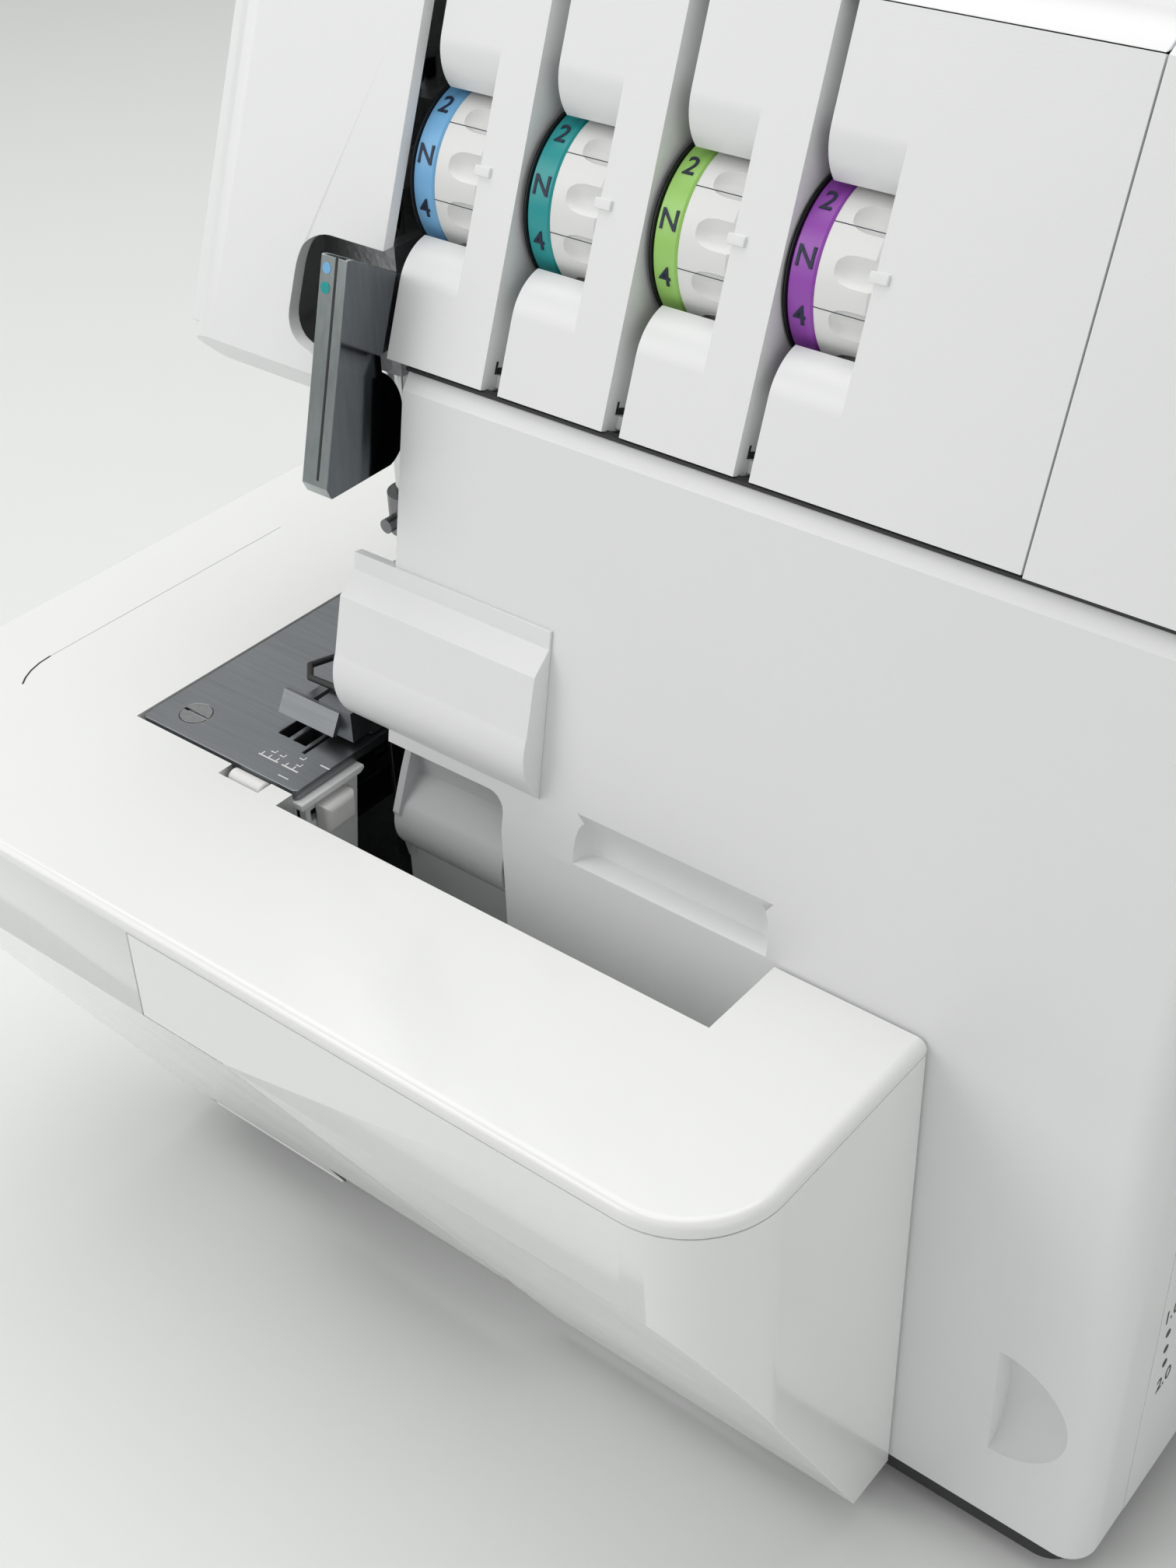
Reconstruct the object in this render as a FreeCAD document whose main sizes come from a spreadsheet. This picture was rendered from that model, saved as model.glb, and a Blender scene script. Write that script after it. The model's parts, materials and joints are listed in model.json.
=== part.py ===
import FreeCAD, Part
import math
import os
import re
import Sketcher
from FreeCAD import Rotation, Vector

# A four-thread overlock sewing machine, in millimetres, +Z up, resting on Z = 0.
# The frame's origin is the centre of the machine's outline from above, on the surface it stands on.
# Sizes below count from the machine's datum corner: X = 0 at the right end of the gap between table
# and body, Y = 0 at the body's front face, Z = 0 at the floor. datum_x and datum_y place that corner.

SIZES = {
    # where the datum corner lies from the frame's origin
    "datum_x": 59.25, "datum_y": -75,
    # main envelope
    "body_right": 78, "body_back": 150, "base_left": -157, "base_right": 75, "base_front": 0.4,
    "foot_height": 5, "base_top": 9, "bed_top": 130, "head_top": 296, "wall": 2.4, "gap": 0.4,
    # leaning front faces: (ledge_y, ledge_z) is the foot of the tension panel
    "face_lean": 10, "panel_lean": 21, "ledge_y": 15.5, "ledge_z": 217.8, "ledge_gap": 1,
    "panel_length": 79.5,
    "cover_left": -99.3, "cover_bottom": 9.4, "cover_seam": 17.8, "step_x": -67.5, "step_z": 138.4,
    # finger scoop above the bed level and thumb scoop low on the right
    "finger_left": -50.5, "finger_right": -1, "finger_depth": 5, "finger_height": 11,
    "thumb_left": 54.5, "thumb_right": 70.6, "thumb_low": 31, "thumb_high": 60, "thumb_depth": 5.5,
    # tension panel: left edges of the four sections, right edges, dial openings and rolled lips
    "section_1": -103.8, "section_2": -75.9, "section_3": -47.4, "section_4": -19.3,
    "section_end_1": -80, "section_end_2": -51.4, "section_end_3": -22.6, "section_end_4": 33,
    "section_depth": 16, "channel_depth": 14, "rib": 1.8, "window_width": 14.5,
    "lip_start": 15.2, "lip_radius": 10.5, "lip_turn": 58, "lip_wall": 2,
    # tension dials
    "dial_radius": 17.4, "dial_depth": 18.3, "dial_height": 37.7, "dial_left": -2.4, "dial_width": 16.4,
    "band_end": 3, "flute_depth": 1.4, "spindle_radius": 2.2, "running_gap": 0.05,
    # head over the needles
    "head_left": -160.5, "head_right": -107.3, "head_bottom": 200, "head_crease": 212,
    "notch_left": -129, "notch_top": 237, "head_proud": 2.14,
    # thread take-up guard
    "guard_left": -111.2, "guard_right": -104.4, "guard_sheet": 1.2,
    # extension table and its drawer
    "table_left": -216, "table_front": -65, "table_right": 33, "table_back": 150, "table_low": 8,
    "table_crease": 105, "bevel_foot": -14, "left_foot": -172, "corner_left": 28, "corner_right": 20,
    "slot_front": -21.2, "slot_step": -111, "arm_side": -159.6, "arm_front": -16.4,
    "drawer_left": -108, "drawer_knee": -85, "drawer_toe": -47, "drawer_top": 126.6, "tray_floor": 82,
    "tray_left": -70, "tray_right": -8,
    # needle plate and feed
    "plate_left": -158.8, "plate_right": -111, "plate_front": -15.4, "plate_back": 58,
    "plate_thick": 2.4, "plate_screw_x": -149.7, "plate_screw_y": -7.8, "screw_head": 3.65,
    "needle_x": -118.65, "needle_y": 34, "needle_pitch": 2.1, "feed_front": -2.2, "feed_back": 46,
    "feed_travel": 1.5, "row_1": -128, "row_1_width": 3.2, "row_2": -123.1, "row_2_width": 3.8,
    # needle bar, presser bar and knives
    "bar_radius": 3.2, "bar_top": 250, "presser_radius": 4, "presser_x": -122, "presser_y": 50, "presser_top": 264,
    "clamp_low": 168, "foot_sole": 130.4, "lifter_z": 230, "lifter_radius": 3, "knife_face": -109.65,
    "knife_rod_x": -93, "knife_rod_y": 17, "knife_rod_radius": 3, "lower_pivot_x": -90, "lower_pivot_z": 70,
    "upper_pivot_x": -80, "upper_pivot_z": 98, "looper_radius": 4, "takeup_pivot_y": 68, "takeup_pivot_z": 225,
    # drive
    "shaft_y": 95, "shaft_z": 105, "shaft_radius": 6, "pulley_radius": 24, "motor_z": 42,
    "motor_radius": 24, "motor_pulley": 8, "belt": 2, "pulley_left": 56, "pulley_width": 10,
    "wheel_radius": 40, "wheel_left": 80.5, "wheel_width": 17,
    # knobs, switch and sockets on the right end
    "feed_dial_y": 44, "feed_dial_z": 62, "feed_dial_radius": 15, "length_dial_y": 36,
    "length_dial_z": 122, "length_dial_radius": 12, "knob_depth": 9,
    "switch_y": 122, "inlet_y": 94, "pedal_y": 70, "socket_z": 34,
    # thread stand behind the body
    "stand_left": -100, "stand_right": 72, "stand_back": 215, "stand_z": 222, "pin_y": 190,
    "pin_first": -80, "pin_pitch": 44, "pin_radius": 2.5, "pin_top": 284, "tree_x": -14,
    "tree_y": 163, "tree_low": 60, "tree_top": 298, "tree_outer": 5, "tree_inner": 3.2, "guide_left": -90, "guide_right": 62,
    # carrying handle
    "handle_left": -82, "handle_right": 12, "handle_front": 78, "handle_back": 112, "handle_bar": 9,
    "handle_pin": 1.6,
}

doc = FreeCAD.newDocument("overlock_machine")
sheet = doc.addObject("Spreadsheet::Sheet", "Sizes")
for row, (alias, number) in enumerate(SIZES.items(), start=1):
    sheet.set("A%d" % row, alias)
    sheet.set("B%d" % row, str(number))
    sheet.setAlias("B%d" % row, alias)
doc.recompute()

nodes = {}
PLANE_ROLES = {"XY": "XY_Plane", "XZ": "XZ_Plane", "YZ": "YZ_Plane", "PANEL": "YZ_Plane", "FACE": "YZ_Plane"}
LEANING = {"PANEL": ("ledge_y", "ledge_z", "panel_lean"), "FACE": ("0", "bed_top", "face_lean")}


def link(expression):
    """The expression with every named size pointing at its cell."""
    def cell(word):
        return "Sizes." + word.group() if word.group() in SIZES else word.group()
    return re.sub(r"[a-z_][a-z0-9_]*", cell, str(expression))


def size(expression):
    """What an expression of named sizes comes to, in millimetres."""
    found = sheet.evalExpression(link(expression))
    return float(getattr(found, "Value", found))


def arc_between(start, end, radius):
    """The short arc from start to end; a positive radius turns left."""
    middle = (start + end) * 0.5
    half = (end - start) * 0.5
    side = Vector(-half.y, half.x, 0)
    side.normalize()
    reach = math.sqrt(max(radius * radius - half.Length ** 2, 0))
    centre = middle + side * (reach if radius > 0 else -reach)
    circle = Part.Circle(centre, Vector(0, 0, 1), abs(radius))
    first, last = (start, end) if radius > 0 else (end, start)
    angles = [math.atan2(p.y - centre.y, p.x - centre.x) for p in (first, last)]
    if angles[1] < angles[0]:
        angles[1] += 2 * math.pi
    return Part.ArcOfCircle(circle, angles[0], angles[1])


class Piece:
    """A solid made of pads and pockets. Each sketch lies on a main plane or on a leaning front face."""

    def __init__(self, name, exported=True):
        self.name = name
        self.body = doc.addObject("PartDesign::Body", name)
        self.body.Label = name
        self.body.setExpression("Placement.Base.x", link("datum_x"))
        self.body.setExpression("Placement.Base.y", link("datum_y"))
        if exported:
            nodes[name] = self.body

    def sketch(self, plane, low, high, outlines):
        drawn = self.body.newObject("Sketcher::SketchObject", self.name + "_sketch")
        role = PLANE_ROLES[plane]
        drawn.AttachmentSupport = [(o, "") for o in self.body.Origin.OriginFeatures if o.Role == role]
        drawn.MapMode = "FlatFace"
        if plane in LEANING:
            across, up, lean = LEANING[plane]
            drawn.AttachmentOffset = FreeCAD.Placement(Vector(), Rotation(Vector(0, 0, -1), size(lean)))
            drawn.setExpression("AttachmentOffset.Rotation.Angle", link(lean))
            drawn.setExpression("AttachmentOffset.Base.x", link(across))
            drawn.setExpression("AttachmentOffset.Base.y", link(up))
        start = "-(%s)" % high if plane == "XZ" else "(%s)" % low
        drawn.setExpression("AttachmentOffset.Base.z", link(start))
        for outline in outlines:
            if outline[0] == "circle":
                self.draw_circle(drawn, *outline[1:])
            else:
                self.draw_outline(drawn, outline)
        return drawn

    def pin_to(self, drawn, kind, expression, *where):
        index = drawn.addConstraint(Sketcher.Constraint(kind, *where, size(expression)))
        drawn.setExpression("Constraints[%d]" % index, link(expression))

    def draw_circle(self, drawn, across, up, radius):
        centre = Vector(size(across), size(up), 0)
        circle = Part.Circle(centre, Vector(0, 0, 1), size(radius))
        index = drawn.addGeometry(circle, False)
        self.pin_to(drawn, "DistanceX", across, -1, 1, index, 3)
        self.pin_to(drawn, "DistanceY", up, -1, 1, index, 3)
        self.pin_to(drawn, "Radius", radius, index)

    def draw_outline(self, drawn, points):
        places = [Vector(size(p[0]), size(p[1]), 0) for p in points]
        first = drawn.GeometryCount
        starts, ends = [], []
        for i, point in enumerate(points):
            start, end = places[i], places[(i + 1) % len(points)]
            radius = size(point[2]) if len(point) > 2 else 0
            line = arc_between(start, end, radius) if radius else Part.LineSegment(start, end)
            drawn.addGeometry(line, False)
            starts.append(2 if radius < 0 else 1)
            ends.append(1 if radius < 0 else 2)
        for i in range(len(points)):
            j = (i + 1) % len(points)
            drawn.addConstraint(Sketcher.Constraint("Coincident", first + i, ends[i], first + j, starts[j]))
        for i, point in enumerate(points):
            self.pin_to(drawn, "DistanceX", point[0], -1, 1, first + i, starts[i])
            self.pin_to(drawn, "DistanceY", point[1], -1, 1, first + i, starts[i])
            if len(point) > 2:
                self.pin_to(drawn, "Radius", "abs(%s)" % point[2], first + i)

    def extrude(self, kind, plane, low, high, outlines):
        drawn = self.sketch(plane, low, high, outlines)
        feature = self.body.newObject("PartDesign::" + kind, self.name + "_" + kind.lower())
        feature.Profile = drawn
        feature.setExpression("Length", link("(%s) - (%s)" % (high, low)))
        feature.Reversed = kind == "Pocket"
        return feature

    def pad(self, plane, low, high, *outlines):
        """Adds the outlines, drawn from low to high along the plane's normal."""
        self.extrude("Pad", plane, low, high, outlines)
        return self

    def pocket(self, plane, low, high, *outlines):
        """Removes the outlines; a cut that takes nothing away is a mistake."""
        doc.recompute()
        before = self.body.Tip.Shape.Volume
        self.extrude("Pocket", plane, low, high, outlines)
        doc.recompute()
        if self.body.Tip.Shape.Volume > before - 0.001:
            raise ValueError("a pocket in %s cuts nothing" % self.name)
        return self

    def round(self, radius, chosen):
        """Fillets the edges that the test picks, by their middle point and direction."""
        self.dress("Fillet", "Radius", radius, chosen)
        return self

    def bevel(self, width, chosen):
        """Chamfers the edges that the test picks."""
        self.dress("Chamfer", "Size", width, chosen)
        return self

    def dress(self, kind, prop, value, chosen):
        doc.recompute()
        tip = self.body.Tip
        names = []
        for number, edge in enumerate(tip.Shape.Edges, start=1):
            start, end = edge.valueAt(edge.FirstParameter), edge.valueAt(edge.LastParameter)
            middle = edge.valueAt((edge.FirstParameter + edge.LastParameter) / 2)
            if chosen(middle, end - start):
                names.append("Edge%d" % number)
        if not names:
            raise ValueError("no edge of %s was picked" % self.name)
        feature = self.body.newObject("PartDesign::" + kind, self.name + "_" + kind.lower())
        feature.Base = (tip, names)
        feature.setExpression(prop, link(value))
        doc.recompute()


def rectangle(low_u, high_u, low_v, high_v):
    return [(low_u, low_v), (high_u, low_v), (high_u, high_v), (low_u, high_v)]


def place(thing, x, y, z):
    thing.setExpression("Placement.Base.x", link("(%s) + datum_x" % x))
    thing.setExpression("Placement.Base.y", link("(%s) + datum_y" % y))
    thing.setExpression("Placement.Base.z", link(z))


def block(name, x, y, z):
    """A box between low and high along each axis."""
    made = doc.addObject("Part::Box", name)
    for side, (low, high) in zip(("Length", "Width", "Height"), (x, y, z)):
        made.setExpression(side, link("(%s) - (%s)" % (high, low)))
    place(made, x[0], y[0], z[0])
    return made


TURNS = {"X": Rotation(Vector(0, 1, 0), 90), "Y": Rotation(Vector(1, 0, 0), -90), "Z": Rotation()}


def rod(name, axis, low, high, centre, radius, tip_radius=None):
    """A cylinder, or a cone with a tip radius, along an axis through a centre given on the other two."""
    made = doc.addObject("Part::Cylinder" if tip_radius is None else "Part::Cone", name)
    if tip_radius is None:
        made.setExpression("Radius", link(radius))
    else:
        made.setExpression("Radius1", link(radius))
        made.setExpression("Radius2", link(tip_radius))
    made.setExpression("Height", link("(%s) - (%s)" % (high, low)))
    made.Placement = FreeCAD.Placement(Vector(), TURNS[axis])
    spot = list(centre)
    spot.insert("XYZ".index(axis), low)
    place(made, *spot)
    return made


def joined(name, *things):
    made = doc.addObject("Part::MultiFuse", name)
    made.Shapes = list(things)
    return made


def less(name, base, *tools):
    made = doc.addObject("Part::Cut", name)
    made.Base = base
    made.Tool = tools[0] if len(tools) == 1 else joined(name + "_tools", *tools)
    return made


def together(name, *things):
    """Separate solids that share one node."""
    made = doc.addObject("Part::Compound", name)
    made.Links = list(things)
    return made


def node(name, made):
    made.Label = name
    nodes[name] = made
    return made


def along_x(middle, run):
    return abs(run.y) < 0.01 and abs(run.z) < 0.01


def face_at(z):
    """Where the leaning upper front face lies at a height."""
    return "(%s - bed_top)*tan(face_lean)" % z


# ---------------------------------------------------------------- base and casing

def make_base():
    plate = Piece("base_plate")
    plate.pad("XY", "foot_height", "base_top", rectangle("base_left", "base_right", "base_front", "body_back - 3"))
    corners = [(x, y) for x in ("base_left + 18", "base_right - 18") for y in ("base_front + 18", "body_back - 21")]
    plate.pocket("XY", "foot_height", "base_top", *[("circle", x, y, "3.1") for x, y in corners])
    plate.round("8", lambda middle, run: abs(run.x) < 0.01 and abs(run.y) < 0.01 and abs(run.z) > 1
                and (middle.x < size("base_left") + 1 or middle.x > size("base_right") - 1))
    feet = []
    for number, (x, y) in enumerate(corners):
        pad = rod("foot_pad_%d" % number, "Z", "0", "foot_height", (x, y), "11", None)
        stem = rod("foot_stem_%d" % number, "Z", "foot_height - 1", "base_top", (x, y), "3")
        feet.append(joined("foot_%d" % number, pad, stem))
    node("rubber_feet", together("rubber_feet", *feet))


def make_front_cover():
    cover = Piece("front_cover")
    top = "ledge_z - ledge_gap"
    cover.pad("YZ", "cover_left", "body_right",
              [("0", "cover_bottom"), ("cover_seam", "cover_bottom"), ("cover_seam", top),
               (face_at(top) + " + 2", top), (face_at("(%s - 3.6)" % top), top + " - 3.6"), ("0", "bed_top")])
    cover.pocket("YZ", "cover_left - 1", "body_right - wall",
                 [("wall", "cover_bottom - 1"), ("cover_seam + 5", "cover_bottom - 1"), ("cover_seam + 5", top + " - 5"),
                  (face_at("(%s - 5)" % top) + " + wall", top + " - 5"), ("wall", "bed_top")])
    cover.pad("YZ", "finger_left - 3", "finger_right + 14",
              [("wall - 0.5", "bed_top - 4"), ("finger_depth + wall", "bed_top - 4"),
               ("finger_depth + wall", "bed_top + finger_height + 3"), ("wall + 1", "bed_top + finger_height + 3")])
    cover.pad("XY", "thumb_low - 4", "thumb_high + 4",
              [("thumb_left", "wall - 0.5"), ("thumb_right + 3", "wall - 0.5"),
               ("thumb_right + 3", "thumb_depth + wall + 1"), ("thumb_left", "wall + 1")])
    cover.pocket("XZ", "-1", "cover_seam + 1",
                 rectangle("cover_left - 1", "step_x", "cover_bottom - 1", "step_z"))
    cover.pocket("YZ", "finger_left", "finger_right",
                 [("-2", "bed_top + 0.3"), ("finger_depth", "bed_top + 0.3"),
                  (face_at("(bed_top + finger_height)"), "bed_top + finger_height"),
                  ("-2", "bed_top + finger_height")])
    cover.pocket("XY", "thumb_low", "thumb_high",
                 [("thumb_left", "-1"), ("thumb_right", "-1"), ("thumb_right", "thumb_depth"), ("thumb_left", "0")])
    cover.round("6", lambda middle, run: middle.x > size("body_right") - 0.1 and middle.y < 14
                and abs(run.z) > 60 and abs(run.x) < 0.01)
    return cover


def end_profile(inset):
    """Outline of the right end, from the seam behind the front cover over the top and down the back."""
    slope = "tan(panel_lean)"
    step = "%s/cos(panel_lean)" % inset
    panel_top = "ledge_y + (head_top - 4 - ledge_z)*" + slope
    return [("body_back - " + inset, "base_top + " + inset), ("body_back - " + inset, "head_top - 20"),
            ("body_back - 18 - %s/3" % inset, "head_top - " + inset), ("52", "head_top - " + inset),
            (panel_top + " + " + step, "head_top - 4 - %s/2" % inset), ("ledge_y + " + step, "ledge_z")]


def make_right_end():
    cover = Piece("right_end_cover")
    left, wall_x = "section_end_4 + gap", "body_right - wall"
    seam = "cover_seam + gap"
    cover.pad("YZ", left, "body_right", end_profile("0") + [(seam, "ledge_z"), (seam, "base_top")])
    inner = end_profile("wall")
    inner[0] = ("body_back - wall", "base_top - 1")
    cover.pocket("YZ", left + " - 1", wall_x, inner + [("10", "ledge_z"), ("10", "base_top - 1")])
    cover.pocket("YZ", wall_x + " - 1", "body_right + 1",
                 ("circle", "shaft_y", "shaft_z", "shaft_radius + 3"),
                 ("circle", "feed_dial_y", "feed_dial_z", "4.3"),
                 ("circle", "length_dial_y", "length_dial_z", "4.3"),
                 rectangle("switch_y - 11.3", "switch_y + 11.3", "socket_z - 7.3", "socket_z + 7.3"),
                 rectangle("inlet_y - 10.3", "inlet_y + 10.3", "socket_z - 6.3", "socket_z + 6.3"),
                 ("circle", "pedal_y", "socket_z", "5.3"))
    cover.round("3", lambda middle, run: middle.x > size("body_right") - 0.1 and middle.z > size("ledge_z") + 20
                and middle.y < size("ledge_y") + 60 and run.Length > 20)
    return cover


def make_rear_and_top():
    rear = Piece("rear_cover")
    right = "section_end_4"
    rear.pad("YZ", "section_1", right,
             [("body_back - wall", "base_top"), ("body_back", "base_top"), ("body_back", "head_top - 20"),
              ("body_back - 18", "head_top"), ("body_back - 22", "head_top"), ("body_back - 22", "head_top - wall"),
              ("body_back - 18.8", "head_top - wall"), ("body_back - wall", "head_top - 21")])
    rear.pad("XY", "bed_top + gap", "head_bottom + 4", rectangle("section_1", "section_1 + wall", "22", "body_back - 1"))
    rear.pocket("XZ", "body_back - 4", "body_back + 1",
                *[rectangle("-80 + 9*%d" % i, "-75 + 9*%d" % i, "22", "46") for i in range(8)])
    top = Piece("top_cover")
    edge = "body_back - 22 - gap"
    front = "ledge_y + panel_length*sin(panel_lean) + gap"
    top.pad("YZ", "section_1", right,
            [(front, "head_top - 4"), ("52", "head_top"), (edge, "head_top"), (edge, "head_top - wall"),
             ("53", "head_top - wall"), (front + " + 2", "head_top - 4")])
    tray = ("handle_left + 22", "handle_right - 22", "handle_front + 1", "handle_back - 6")
    walls = [t + s for t, s in zip(tray, (" - wall", " + wall", " - wall", " + wall"))]
    top.pad("XY", "head_top - 16", "head_top - wall/2", rectangle(*walls))
    top.pocket("XY", "head_top - 16 + wall", "head_top + 1", rectangle(*tray))
    for low, high in (("handle_left - 2.6", "handle_left - 0.4"), ("handle_right + 0.4", "handle_right + 2.6")):
        top.pad("YZ", low, high, rectangle("handle_back - 7", "handle_back + 1", "head_top - 1.5", "head_top + 7"))
    for low, high in (("handle_left - 1", "handle_left + 7"), ("handle_right - 7", "handle_right + 1")):
        top.pad("YZ", low, high, ("circle", "handle_back - 3", "head_top + 3.65", "handle_pin"))


def make_head_cover():
    cover = Piece("left_head_cover")
    front = "ledge_y - head_proud + (%s - ledge_z)*tan(panel_lean)"
    outer = [(front % "head_crease", "head_crease"), ("24", "head_bottom"), ("body_back", "head_bottom"),
             ("body_back", "head_top - 20"), ("body_back - 18", "head_top"), ("47", "head_top"),
             (front % "(head_top - 6)", "head_top - 6")]
    inner = [(front % "head_crease" + " + 3.2", "head_crease + 1"), ("25.5", "head_bottom + wall"),
             ("body_back - wall", "head_bottom + wall"), ("body_back - wall", "head_top - 21"),
             ("body_back - 18.8", "head_top - wall"), ("48", "head_top - wall"),
             (front % "(head_top - 6)" + " + 2.6", "head_top - 7")]
    cover.pad("YZ", "head_left", "head_right", outer)
    cover.pocket("YZ", "head_left + wall", "head_right + 1", inner)
    cover.pocket("XZ", "-10", "40",
                 [("notch_left", "head_crease + 5.6"), ("-118.7", "head_crease + 3"), ("-118.7", "head_bottom - 10"),
                  ("head_right + 5", "head_bottom - 10"), ("head_right + 5", "notch_top"),
                  ("notch_left + 4", "notch_top"), ("notch_left", "notch_top - 4")])
    cover.pocket("XY", "head_bottom - 1", "head_bottom + wall + 0.5",
                 rectangle("-134", "head_right + 1", "needle_y - 5", "presser_y + 14"))
    cover.pocket("XZ", "body_back - 4", "body_back + 1", ("circle", "presser_x", "lifter_z", "lifter_radius + 0.6"))
    cover.round("12", lambda middle, run: middle.x < size("head_left") + 0.1 and middle.y < 45
                and abs(run.z) > 40)
    lens = Piece("lamp_lens")
    lens.pad("XY", "head_bottom - 1.6", "head_bottom", rectangle("-154", "-140", "58", "92"))
    lens.bevel("1", lambda middle, run: middle.z < size("head_bottom") - 1.5)


def make_tension_panel():
    panel = Piece("tension_panel")
    panel.pad("PANEL", "section_1", "section_end_4", rectangle("0", "section_depth", "gap", "panel_length"))
    for number in (1, 2, 3):
        panel.pocket("PANEL", "section_end_%d" % number, "section_%d" % (number + 1),
                     rectangle("-1", "channel_depth", "gap - 1", "panel_length + 1"))
    for number in (1, 2, 3, 4):
        left, right = "section_%d" % number, "section_end_%d" % number
        panel.pocket("PANEL", left + " + rib", right + " - rib",
                     rectangle("wall", "section_depth + 1", "gap - 1", "panel_length + 1"))
        panel.pocket("PANEL", left + " - 0.1", left + " + window_width",
                     rectangle("-1", "section_depth + 1", "lip_start", "2*dial_height - lip_start"))
        if number > 1:
            panel.pocket("PANEL", left + " - 3.1", left, rectangle("0.5", "section_depth + 1",
                         "dial_height - dial_radius - 1.4", "dial_height + dial_radius + 1.4"))
        turn, inner = "lip_turn", "(lip_radius - lip_wall)"
        lower = [("0", "lip_start - 0.2"), ("0", "lip_start", "-lip_radius"),
                 ("lip_radius*(1 - cos(%s))" % turn, "lip_start + lip_radius*sin(%s)" % turn),
                 ("lip_radius - %s*cos(%s)" % (inner, turn), "lip_start + %s*sin(%s)" % (inner, turn), inner),
                 ("lip_wall", "lip_start"), ("lip_wall", "lip_start - 0.2")]
        upper = [(p[0], "2*dial_height - (%s)" % p[1]) + tuple("-(%s)" % r for r in p[2:]) for p in lower]
        panel.pad("PANEL", left, left + " + window_width + 0.2", lower)
        panel.pad("PANEL", left, left + " + window_width + 0.2", upper)
    return panel


AXIS_Y = "(ledge_y + dial_height*sin(panel_lean) + dial_depth*cos(panel_lean))"
AXIS_Z = "(ledge_z + dial_height*cos(panel_lean) - dial_depth*sin(panel_lean))"


def make_tension_dials():
    collars, spindles, tools = [], [], []
    for number in (1, 2, 3, 4):
        left = "section_%d" % number
        dial = Piece("tension_dial_%d" % number)
        start, middle = left + " + dial_left + 0.15", left + " + band_end"
        dial.pad("YZ", start, middle, ("circle", AXIS_Y, AXIS_Z, "dial_radius"))
        dial.pad("YZ", middle, left + " + dial_left + dial_width", ("circle", AXIS_Y, AXIS_Z, "dial_radius"))
        dial.pocket("YZ", start + " - 1", left + " + dial_left + dial_width + 1",
                    ("circle", AXIS_Y, AXIS_Z, "spindle_radius + running_gap"))
        flutes = [("circle", AXIS_Y + " + (dial_radius + 3)*cos(%d)" % a, AXIS_Z + " + (dial_radius + 3)*sin(%d)" % a,
                   "3 + flute_depth") for a in range(0, 360, 30)]
        dial.pocket("YZ", middle + " + 1.8", left + " + dial_left + dial_width + 1", *flutes)
        ring = rod("collar_%d_disc" % number, "X", left + " + dial_left - 0.6", left + " + dial_left",
                   (AXIS_Y, AXIS_Z), "dial_radius + 0.2")
        eye = rod("collar_%d_eye" % number, "X", left + " + dial_left - 2", left + " + dial_left + 1",
                  (AXIS_Y, AXIS_Z), "spindle_radius")
        collars.append(less("collar_%d" % number, ring, eye))
        spindles.append(rod("spindle_%d" % number, "X", left + " + dial_left - 0.8", left + " + 23", (AXIS_Y, AXIS_Z),
                            "spindle_radius"))
    node("dial_collars", together("dial_collars", *collars))
    bracket = Piece("tension_bracket")
    bracket.pad("XZ", "71", "73.5", rectangle("section_1 + 3", "section_end_4 - 1", "222", "270"))
    for number in (1, 2, 3, 4):
        left = "section_%d" % number
        bracket.pad("XY", AXIS_Z + " - 6", AXIS_Z + " + 6",
                    rectangle(left + " + 19.2", left + " + 21.4", AXIS_Y + " - 7", "72"))
        bracket.pocket("YZ", left + " + 19", left + " + 23.5",
                       ("circle", AXIS_Y, AXIS_Z, "spindle_radius + 0.02"))
    node("tension_spindles", together("tension_spindles", *spindles))


# ---------------------------------------------------------------- sewing area

def make_guard():
    guard = Piece("takeup_guard")
    wing = [("10", "239.6"), ("8.6", "240"), ("-3", "197.5"), ("-1.9", "195.2"), ("14.7", "195.5", "7"), ("19.2", "204", "11"),
            ("14.8", "215.5"), ("14.8", "219"), ("73.5", "222"), ("73.5", "227"), ("22", "227"), ("22", "233")]
    guard.pad("YZ", "guard_left", "guard_right", wing)
    guard.pocket("YZ", "guard_left + guard_sheet", "guard_right - guard_sheet",
                 [("8.6 + guard_sheet", "245"), ("-3 + 1.3*guard_sheet", "197.5"), ("-1.7 + guard_sheet", "190"),
                  ("90", "190"), ("90", "245")])
    guard.pocket("YZ", "guard_left - 1", "guard_left + guard_sheet + 0.1",
                 [("16", "190"), ("90", "190"), ("90", "245"), ("16", "245")])
    lever = Piece("takeup_lever")
    lever.pad("YZ", "-109.6", "-108",
              [("takeup_pivot_y - 4", "takeup_pivot_z - 4"), ("takeup_pivot_y + 2", "takeup_pivot_z - 4", "4.6"),
               ("takeup_pivot_y + 2", "takeup_pivot_z + 4"), ("takeup_pivot_y - 4", "takeup_pivot_z + 4"),
               ("12", "227"), ("6", "222"), ("9", "219")])
    lever.pocket("YZ", "-110", "-107", ("circle", "takeup_pivot_y", "takeup_pivot_z", "2.05"))


def make_knife_cover():
    cover = Piece("knife_cover")
    bulge = [("-0.05", "48"), ("-0.7", "48"), ("-0.7", "44.2"), ("-4.5", "39.5"), ("-5.5", "27", "14"),
             ("-0.05", "11.4")]
    cover.pad("FACE", "-110", "-58.5", bulge)
    cover.pocket("FACE", "-111", "-60.5",
                 [("0.5", "40.4"), ("-0.9", "40.4"), ("-2.7", "38.4"), ("-3.7", "27", "12.2"), ("-0.3", "14"),
                  ("0.5", "14")])
    cover.pad("FACE", "-110", "cover_left - 0.3", rectangle("-0.5", "1.5", "43.4", "48"))


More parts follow.
